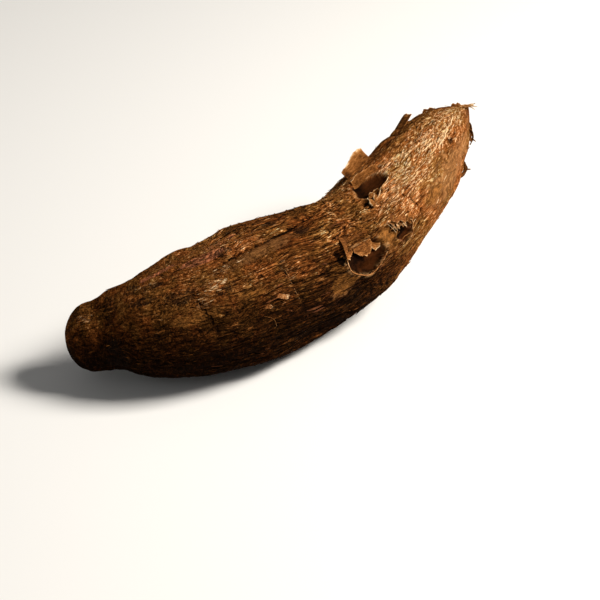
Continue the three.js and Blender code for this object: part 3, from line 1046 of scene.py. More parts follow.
class Wiring:
    """Adds shader nodes to one node tree and joins them up."""

    def __init__(self, tree: bpy.types.NodeTree) -> None:
        """Starts work on a tree."""
        self.tree = tree

    def add(
        self, kind: str, feeds: dict[str | int, object] | None = None, **settings: object
    ) -> bpy.types.Node:
        """Adds a node, sets it up and feeds its inputs with sockets or plain values.

        Args:
            kind: the node's type.
            feeds: what goes into its inputs, by name or number.
            settings: its own settings, by name.

        Returns:
            The new node.
        """
        node = self.tree.nodes.new(kind)
        for name, value in settings.items():
            setattr(node, name, value)
        for key, value in (feeds or {}).items():
            self.feed(node.inputs[key], value)
        return node

    def feed(self, socket: Socket, value: object) -> None:
        """Links a socket to an input, or sets the input to a plain value.

        Args:
            socket: the input.
            value: a socket, a number, a vector or a colour.
        """
        if isinstance(value, Socket):
            self.tree.links.new(value, socket)
        elif isinstance(value, tuple) and socket.type == "RGBA" and len(value) == 3:
            socket.default_value = (*value, 1.0)
        else:
            socket.default_value = value

    def math(self, operation: str, a: object, b: object = 0.0) -> Socket:
        """The result of one sum."""
        return self.add("ShaderNodeMath", {0: a, 1: b}, operation=operation).outputs[0]

    def times(self, a: object, b: object) -> Socket:
        """The product of two values."""
        return self.math("MULTIPLY", a, b)

    def total(self, *parts: tuple[object, float, float]) -> Socket:
        """The sum of some parts. Each is a value, its weight and the middle that is taken off it first.

        Args:
            parts: the value, the weight and the middle of each part.

        Returns:
            The sum.
        """
        result: object = 0.0
        for value, weight, middle in parts:
            result = self.math("ADD", result, self.times(self.math("SUBTRACT", value, middle), weight))
        return result

    def mix(self, share: object, a: object, b: object, blend: str = "MIX") -> Socket:
        """A mixture of two colours.

        Args:
            share: how much of the second colour there is.
            a: the first colour.
            b: the second colour.
            blend: how the two are mixed.

        Returns:
            The mixture.
        """
        node = self.add("ShaderNodeMix", data_type="RGBA", blend_type=blend, clamp_factor=True)
        for index, value in ((0, share), (6, a), (7, b)):
            self.feed(node.inputs[index], value)
        return node.outputs[2]

    def lay(self, under: object, over: object, mask: object, strength: float) -> Socket:
        """A colour with another laid over it where a mask is 1, at this strength."""
        return self.mix(self.times(mask, strength), under, over)

    def remap(
        self, value: object, low: float, high: float, to_low: float = 0.0, to_high: float = 1.0
    ) -> Socket:
        """A smooth step between two values."""
        feeds = {"Value": value, "From Min": low, "From Max": high, "To Min": to_low, "To Max": to_high}
        return self.add("ShaderNodeMapRange", feeds, interpolation_type="SMOOTHSTEP").outputs["Result"]

    def ramp(self, value: object, stops: tuple[tuple[float, Colour], ...]) -> Socket:
        """A colour that follows a value through some stops.

        Args:
            value: the value that the colour follows.
            stops: places from 0 to 1, with their colours.

        Returns:
            The colour.
        """
        node = self.add("ShaderNodeValToRGB", {"Fac": value})
        node.color_ramp.interpolation = "LINEAR"
        elements = node.color_ramp.elements
        while len(elements) < len(stops):
            elements.new(1.0)
        for element, (place, _) in zip(elements, stops):
            element.position = place
        for element, (_, colour) in zip(elements, stops):
            element.color = (*colour, 1.0)
        return node.outputs["Color"]

    def attribute(self, name: str) -> bpy.types.Node:
        """A node that reads a named value of the mesh."""
        return self.add("ShaderNodeAttribute", attribute_name=name, attribute_type="GEOMETRY")

    def value(self, name: str) -> Socket:
        """A named value of the mesh, from 0 to 1."""
        return self.attribute(name).outputs["Fac"]

    def noise(
        self, vector: object, length: object, width: object, detail: float = 3.0, roughness: float = 0.55,
        distortion: float = 0.0,
    ) -> Socket:
        """Noise from 0 to 1, in cells of this length along the root and width round it, in metres.

        Args:
            vector: the place that the pattern reads.
            length: the cells' length.
            width: the cells' width.
            detail: how many finer layers there are.
            roughness: how strong the finer layers are.
            distortion: how far it is warped.

        Returns:
            The noise.
        """
        cells = self.add("ShaderNodeCombineXYZ", {"X": length, "Y": width, "Z": width}).outputs[0]
        place = self.add("ShaderNodeVectorMath", {0: vector, 1: cells}, operation="DIVIDE").outputs[0]
        feeds = {"Vector": place, "Scale": 1.0, "Detail": detail, "Roughness": roughness}
        feeds["Distortion"] = distortion
        return self.add("ShaderNodeTexNoise", feeds, noise_dimensions="3D").outputs["Fac"]

    def group(self, tree: bpy.types.NodeTree, feeds: dict[str, object]) -> bpy.types.Node:
        """Places a node group and feeds its inputs.

        Args:
            tree: the node group.
            feeds: what goes into its inputs, by name.

        Returns:
            The group's node.
        """
        node = self.tree.nodes.new("ShaderNodeGroup")
        node.node_tree = tree
        for key, value in feeds.items():
            self.feed(node.inputs[key], value)
        return node


class GroupWiring(Wiring):
    """A shader node group in the making, with named inputs and outputs."""

    def __init__(self, name: str, inputs: dict[str, str], outputs: dict[str, str]) -> None:
        """Makes the group with its sockets. The values are socket kinds: Float, Vector or Color.

        Args:
            name: the name of what is made.
            inputs: the kinds of its inputs, by name.
            outputs: the kinds of its outputs, by name.
        """
        super().__init__(bpy.data.node_groups.new(name, "ShaderNodeTree"))
        for direction, sockets in (("INPUT", inputs), ("OUTPUT", outputs)):
            for socket_name, kind in sockets.items():
                self.tree.interface.new_socket(
                    socket_name, in_out=direction, socket_type=f"NodeSocket{kind}"
                )
        self.inlet = self.tree.nodes.new("NodeGroupInput").outputs
        self.outlet = self.tree.nodes.new("NodeGroupOutput").inputs

    def inlets(self) -> tuple[Socket, ...]:
        """The vector, length and width that come into a group for a pattern."""
        return tuple(self.inlet[name] for name in PATTERN_INPUTS)

    def close(self, **results: Socket) -> bpy.types.NodeTree:
        """Joins the results to the group's outputs and gives the finished group.

        Args:
            results: what goes to each output, by name.

        Returns:
            The finished group.
        """
        for name, socket in results.items():
            self.tree.links.new(socket, self.outlet[name])
        return self.tree


@dataclass(frozen=True)
class BarkFinish:
    """Dry, matt, rough brown bark. Colours are linear, and cells are in metres."""

    # deep is the darkest tone of the bark, and also the near-black of the painted shade.
    deep: Colour = (0.0050, 0.0022, 0.0010)
    dark: Colour = (0.030, 0.0110, 0.0032)
    brown: Colour = (0.104, 0.0345, 0.0074)
    golden: Colour = (0.280, 0.102, 0.0240)
    tan: Colour = (0.530, 0.240, 0.0790)
    cream: Colour = (0.920, 0.640, 0.3550)
    smooth: Colour = (0.185, 0.077, 0.0245)
    smooth_light: Colour = (0.315, 0.137, 0.0470)
    olive_tint: Colour = (0.95, 1.0, 0.88)
    warm_tint: Colour = (1.13, 0.93, 0.82)
    soot: Colour = (0.011, 0.0075, 0.0056)
    rust: Colour = (0.420, 0.140, 0.0600)
    ochre: Colour = (0.235, 0.090, 0.0190)
    scrape: Colour = (0.500, 0.300, 0.1500)
    skin: Colour = (0.0052, 0.0018, 0.0007)
    skin_light: Colour = (0.045, 0.0125, 0.0028)
    torn: Colour = (0.560, 0.310, 0.1300)
    rough: float = 0.88
    satin: float = 0.7
    specular: float = 0.01
    # How dark the marks are painted in the hollows of the pattern and how light on its rises: painted shade
    # and highlight.
    paint_dull: float = 0.22
    paint_bright: float = 1.45
    grain: Cells = (0.018, 0.0019)
    long_splits: Cells = (0.060, 0.0028)
    short_splits: Cells = (0.014, 0.0017)
    mottle: Cells = (0.0036, 0.0022)
    patches: Cells = (0.013, 0.0075)
    hues: Cells = (0.024, 0.013)
    chafing: Cells = (0.0034, 0.0009)
    blotches: Cells = (0.009, 0.007)
    jags: Cells = (0.005, 0.003)
    bump_depth: float = 0.0014
    shed_bump_depth: float = 0.0005


class Finishes:
    """The node groups and the materials of the root."""

    def __init__(self, bark: BarkFinish) -> None:
        """Builds the shared node groups once.

        Args:
            bark: the colours, gloss and patterns of the bark.
        """
        self.colours = bark
        self.grain = self.grain_group()
        self.splits = self.splits_group()
        self.ragged = self.ragged_group()
        self.tones = self.tones_group()

    def grain_group(self) -> bpy.types.NodeTree:
        """Lengthwise fibres: broad and fine streaks and short specks, from 0 to 1.

        Returns:
            The group, with Broad, Fine, Specks and Pores.
        """
        wiring = GroupWiring(
            "Bark grain", PATTERN_INPUTS,
            {"Broad": "Float", "Fine": "Float", "Specks": "Float", "Pores": "Float"},
        )
        vector, length, width = wiring.inlets()
        broad = wiring.noise(vector, length, width, 4.0, 0.6, 0.7)
        fine = wiring.noise(vector, wiring.times(length, 0.35), wiring.times(width, 0.55), 3.0, 0.7, 0.6)
        short, thin = wiring.times(length, 0.26), wiring.times(width, 0.6)
        specks = wiring.noise(vector, short, thin, 2.0, 0.5, 1.0)
        elsewhere = {0: vector, 1: (0.37, 0.11, 0.05)}
        shifted = wiring.add("ShaderNodeVectorMath", elsewhere, operation="ADD").outputs[0]
        pores = wiring.noise(shifted, short, thin, 2.0, 0.5, 0.8)
        return wiring.close(
            Broad=wiring.remap(broad, 0.30, 0.70), Fine=wiring.remap(fine, 0.37, 0.63),
            Specks=wiring.remap(specks, 0.53, 0.60), Pores=wiring.remap(pores, 0.55, 0.62),
        )

    def splits_group(self) -> bpy.types.NodeTree:
        """Long wavy splits in the bark: the dark line itself, for painted shade, and the lighter ridges along
        it, for painted highlight.

        Returns:
            The group, with Split, Ridge and Height.
        """
        results = {"Split": "Float", "Ridge": "Float", "Height": "Float"}
        wiring = GroupWiring("Bark splits", PATTERN_INPUTS, results)
        pattern = wiring.noise(*wiring.inlets(), 3.0, 0.5, 0.5)
        off = wiring.math("ABSOLUTE", wiring.math("SUBTRACT", pattern, 0.5))
        split = wiring.remap(off, 0.0, 0.024, 1.0, 0.0)
        ridge = wiring.times(wiring.remap(off, 0.012, 0.045), wiring.remap(off, 0.06, 0.13, 1.0, 0.0))
        return wiring.close(Split=split, Ridge=ridge, Height=wiring.remap(off, 0.0, 0.09))

    def ragged_group(self) -> bpy.types.NodeTree:
        """A soft mask given a ragged edge by noise.

        Returns:
            The group, with the ragged Mask.
        """
        wiring = GroupWiring("Ragged mark", {"Mask": "Float", **PATTERN_INPUTS}, {"Mask": "Float"})
        torn = wiring.noise(*wiring.inlets(), 4.0, 0.65, 0.5)
        bend = wiring.times(wiring.math("SUBTRACT", torn, 0.5), 1.5)
        mask = wiring.math("ADD", wiring.inlet["Mask"], bend)
        inside = wiring.remap(wiring.inlet["Mask"], 0.0, 0.12)
        return wiring.close(Mask=wiring.times(wiring.remap(mask, 0.34, 0.62), inside))

    def tones_group(self) -> bpy.types.NodeTree:
        """The bark's colour from how light it is, from nearly black to cream.

        Returns:
            The group, with the Colour.
        """
        wiring = GroupWiring("Bark tones", {"Light": "Float"}, {"Colour": "Color"})
        c = self.colours
        stops = (
            (0.0, c.deep), (0.2, c.dark), (0.42, c.brown), (0.66, c.golden), (0.85, c.tan), (1.0, c.cream)
        )
        return wiring.close(Colour=wiring.ramp(wiring.inlet["Light"], stops))

    def start(self, name: str) -> tuple[bpy.types.Material, Wiring, bpy.types.Node]:
        """A new material, with its wiring and its shader.

        Args:
            name: the name of what is made.

        Returns:
            The material, its wiring and its shader.
        """
        material = bpy.data.materials.new(name)
        material.use_nodes = True
        wiring = Wiring(material.node_tree)
        shader = material.node_tree.nodes["Principled BSDF"]
        shader.inputs["Specular IOR Level"].default_value = self.colours.specular
        return material, wiring, shader

    def bump(self, wiring: Wiring, shader: bpy.types.Node, height: Socket, distance: float) -> None:
        """Lets a height roughen a shader's surface."""
        node = wiring.add("ShaderNodeBump", {"Height": height, "Distance": distance, "Strength": 1.0})
        wiring.feed(shader.inputs["Normal"], node.outputs["Normal"])

    def shed(self, name: str, width: float, contrast: float = 1.0) -> bpy.types.Material:
        """Bark that has come loose: scales, splinters and flakes, lighter at their broken edges.

        Args:
            name: the name of what is made.
            width: how wide a fibre is, in metres.
            contrast: how strong the pattern is.

        Returns:
            The material.
        """
        material, wiring, shader = self.start(name)
        straight = wiring.attribute("flow").outputs["Vector"]
        grain = wiring.group(self.grain, {"Vector": straight, "Length": 8.0 * width, "Width": width}).outputs
        broad, fine = grain["Broad"], grain["Fine"]
        blotches = wiring.remap(wiring.noise(straight, 4.0 * width, 2.6 * width, 5.0, 0.7), 0.3, 0.7)
        light = wiring.total(
            (wiring.value("tone"), 1.0, 0.0), (broad, 0.18 * contrast, 0.5), (fine, 0.2 * contrast, 0.5),
            (blotches, 0.22 * contrast, 0.5), (grain["Pores"], -0.12 * contrast, 0.0),
            (wiring.value("edge"), 0.26, 0.0),
        )
        colour = wiring.group(self.tones, {"Light": light}).outputs["Colour"]
        colour = wiring.lay(colour, self.colours.rust, wiring.value("red"), 0.36)
        wiring.feed(shader.inputs["Base Color"], colour)
        wiring.feed(shader.inputs["Roughness"], wiring.remap(fine, 0.0, 1.0, 0.62, 0.85))
        bumps = wiring.total((broad, 0.5, 0.0), (fine, 0.5, 0.0), (blotches, 0.4, 0.0))
        self.bump(wiring, shader, bumps, self.colours.shed_bump_depth)
        return material


class BarkMaterial:
    """The bark of the body. Its patterns are laid out once, and its colour, gloss and bumps use them."""

    def __init__(self, finishes: Finishes) -> None:
        """Reads the values of the mesh and lays out the patterns that follow the fibres.

        Args:
            finishes: the shared node groups and the bark's colours.
        """
        self.finishes, self.colours = finishes, finishes.colours
        self.material, self.wiring, self.shader = finishes.start("Bark")
        wiring, value, c = self.wiring, self.wiring.value, self.colours
        self.flow = wiring.attribute("flow").outputs["Vector"]
        self.broad, self.fine, self.specks, self.pores = self.pattern(finishes.grain, c.grain)
        self.long = self.pattern(finishes.splits, c.long_splits)
        self.short = self.pattern(finishes.splits, c.short_splits)
        self.height, self.fleck, self.ridged = value("height"), value("fleck"), value("ridged")
        self.tone, self.skin = value("tone"), value("skin")
        self.mottle = wiring.remap(wiring.noise(self.flow, *c.mottle, 5.0, 0.72, 0.5), 0.32, 0.68)
        self.smooth = self.ragged(Mark.SMOOTH, (0.007, 0.002))
        self.calm = wiring.math("MAXIMUM", wiring.times(self.smooth, 0.7), self.skin)
        self.fibrous = wiring.remap(wiring.math("MAXIMUM", self.ridged, self.fleck), 0.05, 0.6)
        jagged = wiring.noise(self.flow, *c.jags, 3.0, 0.6, 0.3)
        near = wiring.total((value("crack"), 1.0, 0.0), (jagged, 0.6, 0.5))
        self.crack = wiring.times(wiring.remap(near, 0.89, 0.95), wiring.remap(value("crack"), 0.3, 0.7))

    def pattern(
        self, tree: bpy.types.NodeTree, cells: Cells, **feeds: object
    ) -> bpy.types.bpy_prop_collection:
        """The outputs of a node group whose pattern follows the fibres."""
        feeds |= {"Vector": self.flow, "Length": cells[0], "Width": cells[1]}
        return self.wiring.group(tree, feeds).outputs

    def ragged(self, mark: Mark, cells: Cells) -> Socket:
        """The mask of one mark, with an edge that noise in these cells makes ragged."""
        return self.pattern(self.finishes.ragged, cells, Mask=self.wiring.value(mark.value))["Mask"]

    def light(self) -> Socket:
        """How light the bark is, from its tone and its patterns, with painted shade and highlight from its
        relief.

        Returns:
            A value from 0, nearly black, to 1, cream.
        """
        wiring, fibrous = self.wiring, self.fibrous
        patches = wiring.noise(self.flow, *self.colours.patches, 4.0, 0.6, 0.4)
        # Painted shade and highlight: height darkens the hollows of the relief and lightens its rises, the
        # ridges along the splits are lighter, and the specks, most on the scaly neck, are painted highlights.
        return wiring.total(
            (self.tone, 1.0, 0.0), (patches, 0.28, 0.5), (self.broad, 0.08, 0.5), (self.height, 0.42, 0.5),
            (self.mottle, wiring.remap(fibrous, 0.0, 1.0, 0.42, 0.18), 0.5),
            (self.fine, wiring.remap(fibrous, 0.0, 1.0, 0.08, 0.20), 0.5),
            (self.pores, wiring.remap(fibrous, 0.0, 1.0, -0.06, -0.18), 0.0),
            (wiring.times(self.long["Ridge"], self.ridged), 0.27, 0.0),
            (wiring.times(self.short["Ridge"], self.ridged), 0.12, 0.0),
            (wiring.times(self.specks, self.fleck), 0.34, 0.0), (self.specks, 0.16, 0.0),
        )

    def tinted(self) -> Socket:
        """The clean bark's colour, between olive and warm, with painted shade low on the body.

        Returns:
            The clean bark's colour.
        """
        wiring, c = self.wiring, self.colours
        colour = wiring.group(self.finishes.tones, {"Light": self.light()}).outputs["Colour"]
        hue = wiring.noise(self.flow, *c.hues, 4.0, 0.6, 0.3)
        tint = wiring.mix(wiring.remap(hue, 0.38, 0.62), c.olive_tint, c.warm_tint)
        colour = wiring.mix(1.0, colour, tint, "MULTIPLY")
        # Painted shade: the bark low on the body is darkened towards the deep colour.
        return wiring.lay(colour, c.deep, wiring.remap(wiring.value("dim"), 0.0, 1.0), 0.62)

    def marked(self, colour: Socket) -> Socket:
        """The colour with its smooth patches and its marks, darker in the hollows of the pattern as painted
        shade, and the marks lighter on its rises as painted highlight.

        Args:
            colour: the clean bark's colour.

        Returns:
            The marked bark's colour.
        """
        wiring, c = self.wiring, self.colours
        # Painted shade and highlight: the hollows of the pattern are darker and its rises lighter.
        rises = wiring.total((self.mottle, 0.5, 0.0), (self.fine, 0.3, 0.0), (self.height, 0.3, 0.0))
        shade = wiring.remap(rises, 0.1, 0.9)
        plain = wiring.mix(wiring.remap(self.tone, 0.44, 0.60), c.smooth, c.smooth_light)
        plain = wiring.mix(wiring.remap(shade, 0.0, 1.0, 0.6, 0.0), plain, c.dark)
        colour = wiring.lay(colour, plain, self.smooth, 0.75)
        for mark, cells, paint, strength in (
            (Mark.RUST, (0.006, 0.002), c.rust, 0.8), (Mark.OCHRE, (0.006, 0.002), c.ochre, 0.75),
            (Mark.SOOT, (0.004, 0.0022), c.soot, 0.75),
        ):
            dull, bright = (tuple(k * part for part in paint) for k in (c.paint_dull, c.paint_bright))
            colour = wiring.lay(colour, wiring.mix(shade, dull, bright), self.ragged(mark, cells), strength)
        chafed = wiring.noise(self.flow, *c.chafing, 3.0, 0.6, 1.2)
        scraped = wiring.remap(wiring.value("scrape"), 0.2, 0.7)
        return wiring.lay(colour, c.scrape, wiring.times(wiring.remap(chafed, 0.56, 0.62), scraped), 0.6)

    def torn(self, colour: Socket) -> Socket:
        """The colour with its splits, the bare skin, the torn edges, the cracks and the pits. The splits,
        cracks and pits are painted near-black, as painted shade in their grooves.

        Args:
            colour: the marked bark's colour.

        Returns:
            The finished colour.
        """
        wiring, c = self.wiring, self.colours
        lively = wiring.math("SUBTRACT", 1.0, self.calm)
        splits = wiring.times(self.long["Split"], wiring.remap(self.ridged, 0.1, 0.6, 0.15, 1.0))
        nicks = wiring.times(self.short["Split"], wiring.remap(self.ridged, 0.1, 0.8, 0.25, 0.7))
        # Painted shade: the long and the short splits are painted near-black.
        colour = wiring.lay(colour, c.deep, wiring.times(splits, lively), 0.9)
        colour = wiring.lay(colour, c.deep, wiring.times(nicks, lively), 0.7)
        blotches = wiring.noise(self.flow, *c.blotches, 4.0, 0.55)
        bare = wiring.total((blotches, 1.0, 0.0), (self.fine, 0.12, 0.5), (wiring.value("glow"), 0.3, 0.5))
        skin = wiring.mix(wiring.remap(bare, 0.25, 0.75), c.skin, c.skin_light)
        colour = wiring.mix(self.skin, colour, skin)
        edge = wiring.times(wiring.value("torn"), wiring.remap(self.broad, 0.25, 0.75))
        colour = wiring.lay(colour, c.torn, edge, 0.5)
        # Painted shade: the cracks and the pits are painted near-black.
        dark = wiring.math("MAXIMUM", self.crack, self.ragged(Mark.SHADED_PIT, (0.003, 0.002)))
        return wiring.lay(colour, c.deep, dark, 0.94)

    def bumps(self) -> Socket:
        """The fine relief that is too small for the mesh, calmer on smooth patches and bare skin.

        Returns:
            The height that the bumps follow.
        """
        wiring = self.wiring
        long = wiring.times(self.long["Height"], wiring.remap(self.ridged, 0.0, 0.7, 0.2, 1.0))
        short = wiring.times(self.short["Height"], wiring.remap(self.ridged, 0.0, 0.8, 0.4, 0.8))
        bumps = wiring.total(
            (self.broad, 0.30, 0.0), (self.fine, 0.22, 0.0),
            (wiring.times(self.specks, self.fleck), 0.4, 0.0),
            (long, 0.9, 0.0), (short, 0.45, 0.0), (self.pores, -0.3, 0.0), (self.crack, -1.2, 0.0),
            (self.mottle, wiring.remap(self.fibrous, 0.0, 1.0, 0.5, 0.2), 0.0),
        )
        return wiring.times(bumps, wiring.remap(self.calm, 0.0, 1.0, 1.0, 0.2))

    def build(self) -> bpy.types.Material:
        """Joins the colour, the gloss and the bumps to the shader.

        Returns:
            The finished material.
        """
        colour = self.torn(self.marked(self.tinted()))
        gloss = self.wiring.remap(self.calm, 0.0, 1.0, self.colours.rough, self.colours.satin)
        self.wiring.feed(self.shader.inputs["Base Color"], colour)
        self.wiring.feed(self.shader.inputs["Roughness"], gloss)
        self.finishes.bump(self.wiring, self.shader, self.bumps(), self.colours.bump_depth)
        return self.material


# The pieces


@dataclass
class BarkBody:
    """The body of the root: one closed mesh, drawn out of a sphere along the middle line."""

    surface: BarkSurface
    round: int = 400
    rings: int = 248
    end_crowding: float = 0.2
    side_crowding: float = 0.26
    crowded_angle: float = 120.0

    def build(self) -> bpy.types.Object:
        """Models the body and names the values that its material reads.

        Returns:
            The body, with its values and no material.
        """
        start_clean()
        bpy.ops.mesh.primitive_uv_sphere_add(segments=self.round, ring_count=self.rings, radius=1.0)
        body = bpy.context.object
        body.name = body.data.name = "bark_body"
        net = mesh_points(body)
        share = np.arccos(np.clip(net[:, 2], -1.0, 1.0)) / np.pi
        at_end = (share < 1e-4) | (share > 1.0 - 1e-4)
        turn = np.where(at_end, 0.0, np.degrees(-np.arctan2(net[:, 1], net[:, 0])) % 360.0)
        form = self.surface.form
        along = form.length * lerp(share, (1.0 - np.cos(np.pi * share)) / 2.0, self.end_crowding)
        crowd = self.side_crowding * np.cos(np.radians(turn + 90.0 - self.crowded_angle))
        angle = turn + np.degrees(crowd)
        layers = self.surface.layers(along, angle)
        points = form.point(along, angle, layers.pop("relief"))
        points[:, 2] = np.maximum(points[:, 2], 0.0)
        set_points(body, points * MM)
        set_values(body, flow=self.surface.flow(along, angle) * MM, **layers)
        smooth(body)
        return body

    def finish(self, body: bpy.types.Object, finishes: Finishes) -> None:
        """Dresses the body and lets it stand for the CAD node."""
        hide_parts(NODE)
        dress(body, BarkMaterial(finishes).build())


@dataclass(frozen=True)
class Flake:
    """A flake of bark that stands off the root.

    The foot line is wide and follows the bark. The free edge points the way of turn, 0 to the tip and 90 to
    growing angles. lift and curl are in degrees, skew pulls the free edge along the foot line, and roll is
    how far the foot line's first end stands higher than its last. An even flake has the smoother finish.
    dark_end is how much darker its first end is, and the field after it is how much painted shade darkens its
    foot, where it meets the bark.
    """

    name: str
    at: float
    angle: float
    wide: float
    long: float
    turn: float
    lift: float
    curl: float
    skew: float = 0.0
    tone: float = 0.54
    red: float = 0.0
    profile: tuple[float, ...] = (0.78, 0.92, 1.0, 0.94, 0.8)
    taper: float = 0.2
    roll: float = 0.0
    even: bool = False
    dark_end: float = 0.0
    # Painted shade at the foot, where the flake meets the bark.
    foot_painted_shade: float = 0.12


TOOTH = (0.3, 0.8, 1.0, 0.7, 0.3)


@dataclass
class StandingFlakes:
    """The larger flakes, each its own thin sheet with a torn edge."""

    form: RootForm
    thickness: float = 0.42
    sink: float = 1.8
    across: int = 28
    ahead: int = 12
    sharp_angle: float = 40.0
    flakes: tuple[Flake, ...] = (
        Flake(
            "upright_flake", 226.5, 63, 22, 10.2, -90, 60, 18, -1, 0.74, 0, (0.6, 0.72, 0.86, 1.0, 0.9), 0.0,
            even=True, dark_end=0.22, foot_painted_shade=0.34,
        ),
        Flake(
            "strip_at_long_peel", 215.5, 85.5, 20.6, 4.4, -80, 52, 0, 1.5, 0.57, 0,
            (0.9, 1.0, 0.94, 0.98, 0.8), 0.0, even=True, dark_end=-0.04, foot_painted_shade=0.1,
        ),
        Flake(
            "plank_by_tip", 271, 58.5, 8.6, 13.6, 0, 6, 0, 0, 0.5, 0, (0.96, 1.0, 1.0, 0.98, 0.92), 0.0,
            even=True,
        ),
        Flake("edge_on_neck", 299, 56, 9, 2.6, -70, 46, 10, 1, 0.46, 0, (0.5, 1.0, 0.55, 0.9, 0.4)),
        Flake("edge_by_tip", 315, 84, 8, 2.6, -60, 44, 12, 1, 0.44, 0, (0.4, 0.9, 0.5, 1.0, 0.6)),
        Flake("frayed_edge_by_tip", 307, 186, 9, 3.4, 74, 44, 16, 2, 0.34, 0.2, (0.4, 1.0, 0.45, 0.85, 0.3)),
        Flake("near_rim_of_long_peel", 208, 107, 9, 3.4, -80, 26, 20, 0, 0.6, 0, (0.6, 1.0, 0.7, 0.9, 0.6)),
        Flake(
            "ear_of_round_peel", 158.2, 129.5, 8.0, 15, 104, 14, -14, 0, 0.58, 0.15,
            (0.6, 0.74, 0.86, 1.0, 0.97), 0.0, roll=-2.2,
        ),
        Flake(
            "flap_of_round_peel", 169.8, 134.5, 17.4, 12.4, 93, 4, -7, 0, 0.54, 0.1,
            (0.5, 0.78, 0.93, 1.0, 0.97, 0.88, 0.62), 0.0,
        ),
        Flake(
            "right_flap_of_round_peel", 181.5, 147.5, 7, 5.5, 125, 12, 8, 0, 0.72, 0.1,
            (0.4, 0.7, 1.0, 0.8, 0.5),
        ),
        Flake("ragged_flap", 205.5, 140.5, 13, 5.4, 115, 14, 8, 0, 0.56, 0.3, (0.6, 1.0, 0.65, 0.95, 0.7)),
        Flake("first_tooth", 199, 142, 2.2, 5.0, 112, 16, 8, 0, 0.66, 0, TOOTH),
        Flake("second_tooth", 202, 144.5, 1.8, 5.4, 120, 20, 8, 0, 0.76, 0, TOOTH),
        Flake("third_tooth", 205, 147, 2.4, 4.4, 112, 20, 10, 0, 0.62, 0, TOOTH),
        Flake("fourth_tooth", 207.5, 149, 2.0, 5.0, 118, 14, 14, 0, 0.74, 0, TOOTH),
        Flake("fifth_tooth", 210.5, 151, 2.6, 4.0, 108, 20, 8, 0, 0.58, 0, TOOTH),
        Flake("pale_curl", 280, 126, 22, 2.4, 84, 24, 30, 1.5, 0.98, 0, (0.2, 0.7, 0.5, 1.0, 0.8, 0.6, 0.3)),
        Flake("second_curl", 262, 117, 15, 1.8, 96, 20, 30, 1, 0.86, 0, (0.2, 0.6, 0.9, 0.6, 0.9, 0.5, 0.2)),
        Flake("third_curl", 296, 121, 12, 1.8, 78, 22, 30, 1, 0.9, 0, (0.3, 0.8, 0.5, 0.9, 0.3)),
        Flake("lobe_by_the_hole", 200, 113, 7, 4.4, -150, 20, 20, 0, 0.68, 0, (0.5, 0.9, 0.8, 1.0, 0.5)),
        Flake("second_lobe", 205, 113, 7, 4.0, -112, 24, 24, 0, 0.7, 0, (0.5, 1.0, 0.7, 0.9, 0.4)),
        Flake("near_chip", 103, 153.5, 2.3, 7, 28, 14, 10, 0, 0.8, 0.6, (1.0, 1.0, 0.95, 1.0, 0.9), 0.0),
        Flake("low_chip", 96, 159, 2.4, 4.2, 20, 14, 10, 0, 0.62, 0.3),
        Flake("edge_of_back_peel", 130, 30, 18, 6, -90, 24, 30, 0, 0.46),
        Flake("flap_on_back_peel", 141, 3, 10, 7, 150, 30, 40, 0, 0.5),
        Flake("flap_behind_neck", 231, 9, 12, 6.5, -90, 30, 30, 0, 0.52),
    )

    def build(self, flake: Flake, seed: int) -> bpy.types.Object:
        """Models one flake: a grid bent off the bark, with a torn edge, then thickened.

        Args:
            flake: the flake's place, size and finish.
            seed: another seed gives another torn edge.

        Returns:
            The flake's piece.
        """
        sheet = new_grid(flake.name, self.across, self.ahead)
        x, y = mesh_points(sheet).T[:2]
        share = y + 0.5
        rough = columns(x * 9.0 + 40.0, seed, 0.0)
        profile = np.interp(x, np.linspace(-0.5, 0.5, len(flake.profile)), flake.profile)
        torn = profile * (0.95 + 0.07 * flow_noise(rough, seed) + 0.05 * flow_noise(rough * 3.1, seed + 1))
        taper = 1.0 - flake.taper * share**2
        way = math.radians(flake.turn)
        offset = flake.wide * x * taper + flake.skew * share
        at = flake.at - offset * math.sin(way)
        angle = flake.angle + np.degrees(offset * math.cos(way) / self.form.radius(np.array(flake.at)))
        tangent, out, around = self.form.directions(at, angle)
        forward = tangent * math.cos(way) + around * math.sin(way)
        reach = lerp(-self.sink, flake.long * torn, share)
        lean = np.radians(flake.lift + flake.curl * share)
        wave = 0.35 * share * flow_noise(columns(x * 3.0, share * 2.0, seed), 7)
        rise = reach * np.sin(lean) + wave - flake.roll * x * ease(0.0, 0.5, share)
        points = self.form.point(at, angle) + forward * (reach * np.cos(lean))[:, None]
        set_points(sheet, (points + out * rise[:, None]) * MM)
        # Painted shade: the flake is darker towards its foot, where it meets the bark.
        tone = flake.tone - flake.foot_painted_shade * (1.0 - share) + 0.08 * flow_noise(rough * 0.4, seed)
        set_values(
            sheet,
            flow=columns(offset, reach, 10.0 * seed) * MM,
            tone=tone - flake.dark_end * ease(0.24, 0.4, -x),
            edge=np.maximum(ease(0.86, 1.0, share), ease(0.45, 0.5, np.abs(x)) * 0.6),
            red=flake.red,
        )
        thicken(sheet, self.thickness)
        smooth(sheet, self.sharp_angle)
        return sheet

    def build_all(self, even: bpy.types.Material, rough: bpy.types.Material) -> None:
        """Models and dresses every flake."""
        for seed, flake in enumerate(self.flakes):
            dress(self.build(flake, seed), even if flake.even else rough)


@dataclass(frozen=True)
class Rim:
    """Part of the torn edge of a peel that stands up: between two ways out of its middle, in degrees."""

    name: str
    peel: Peel
    start: float
    end: float
    height: float
    lean: float
    tone: float = 0.62
    red: float = 0.25


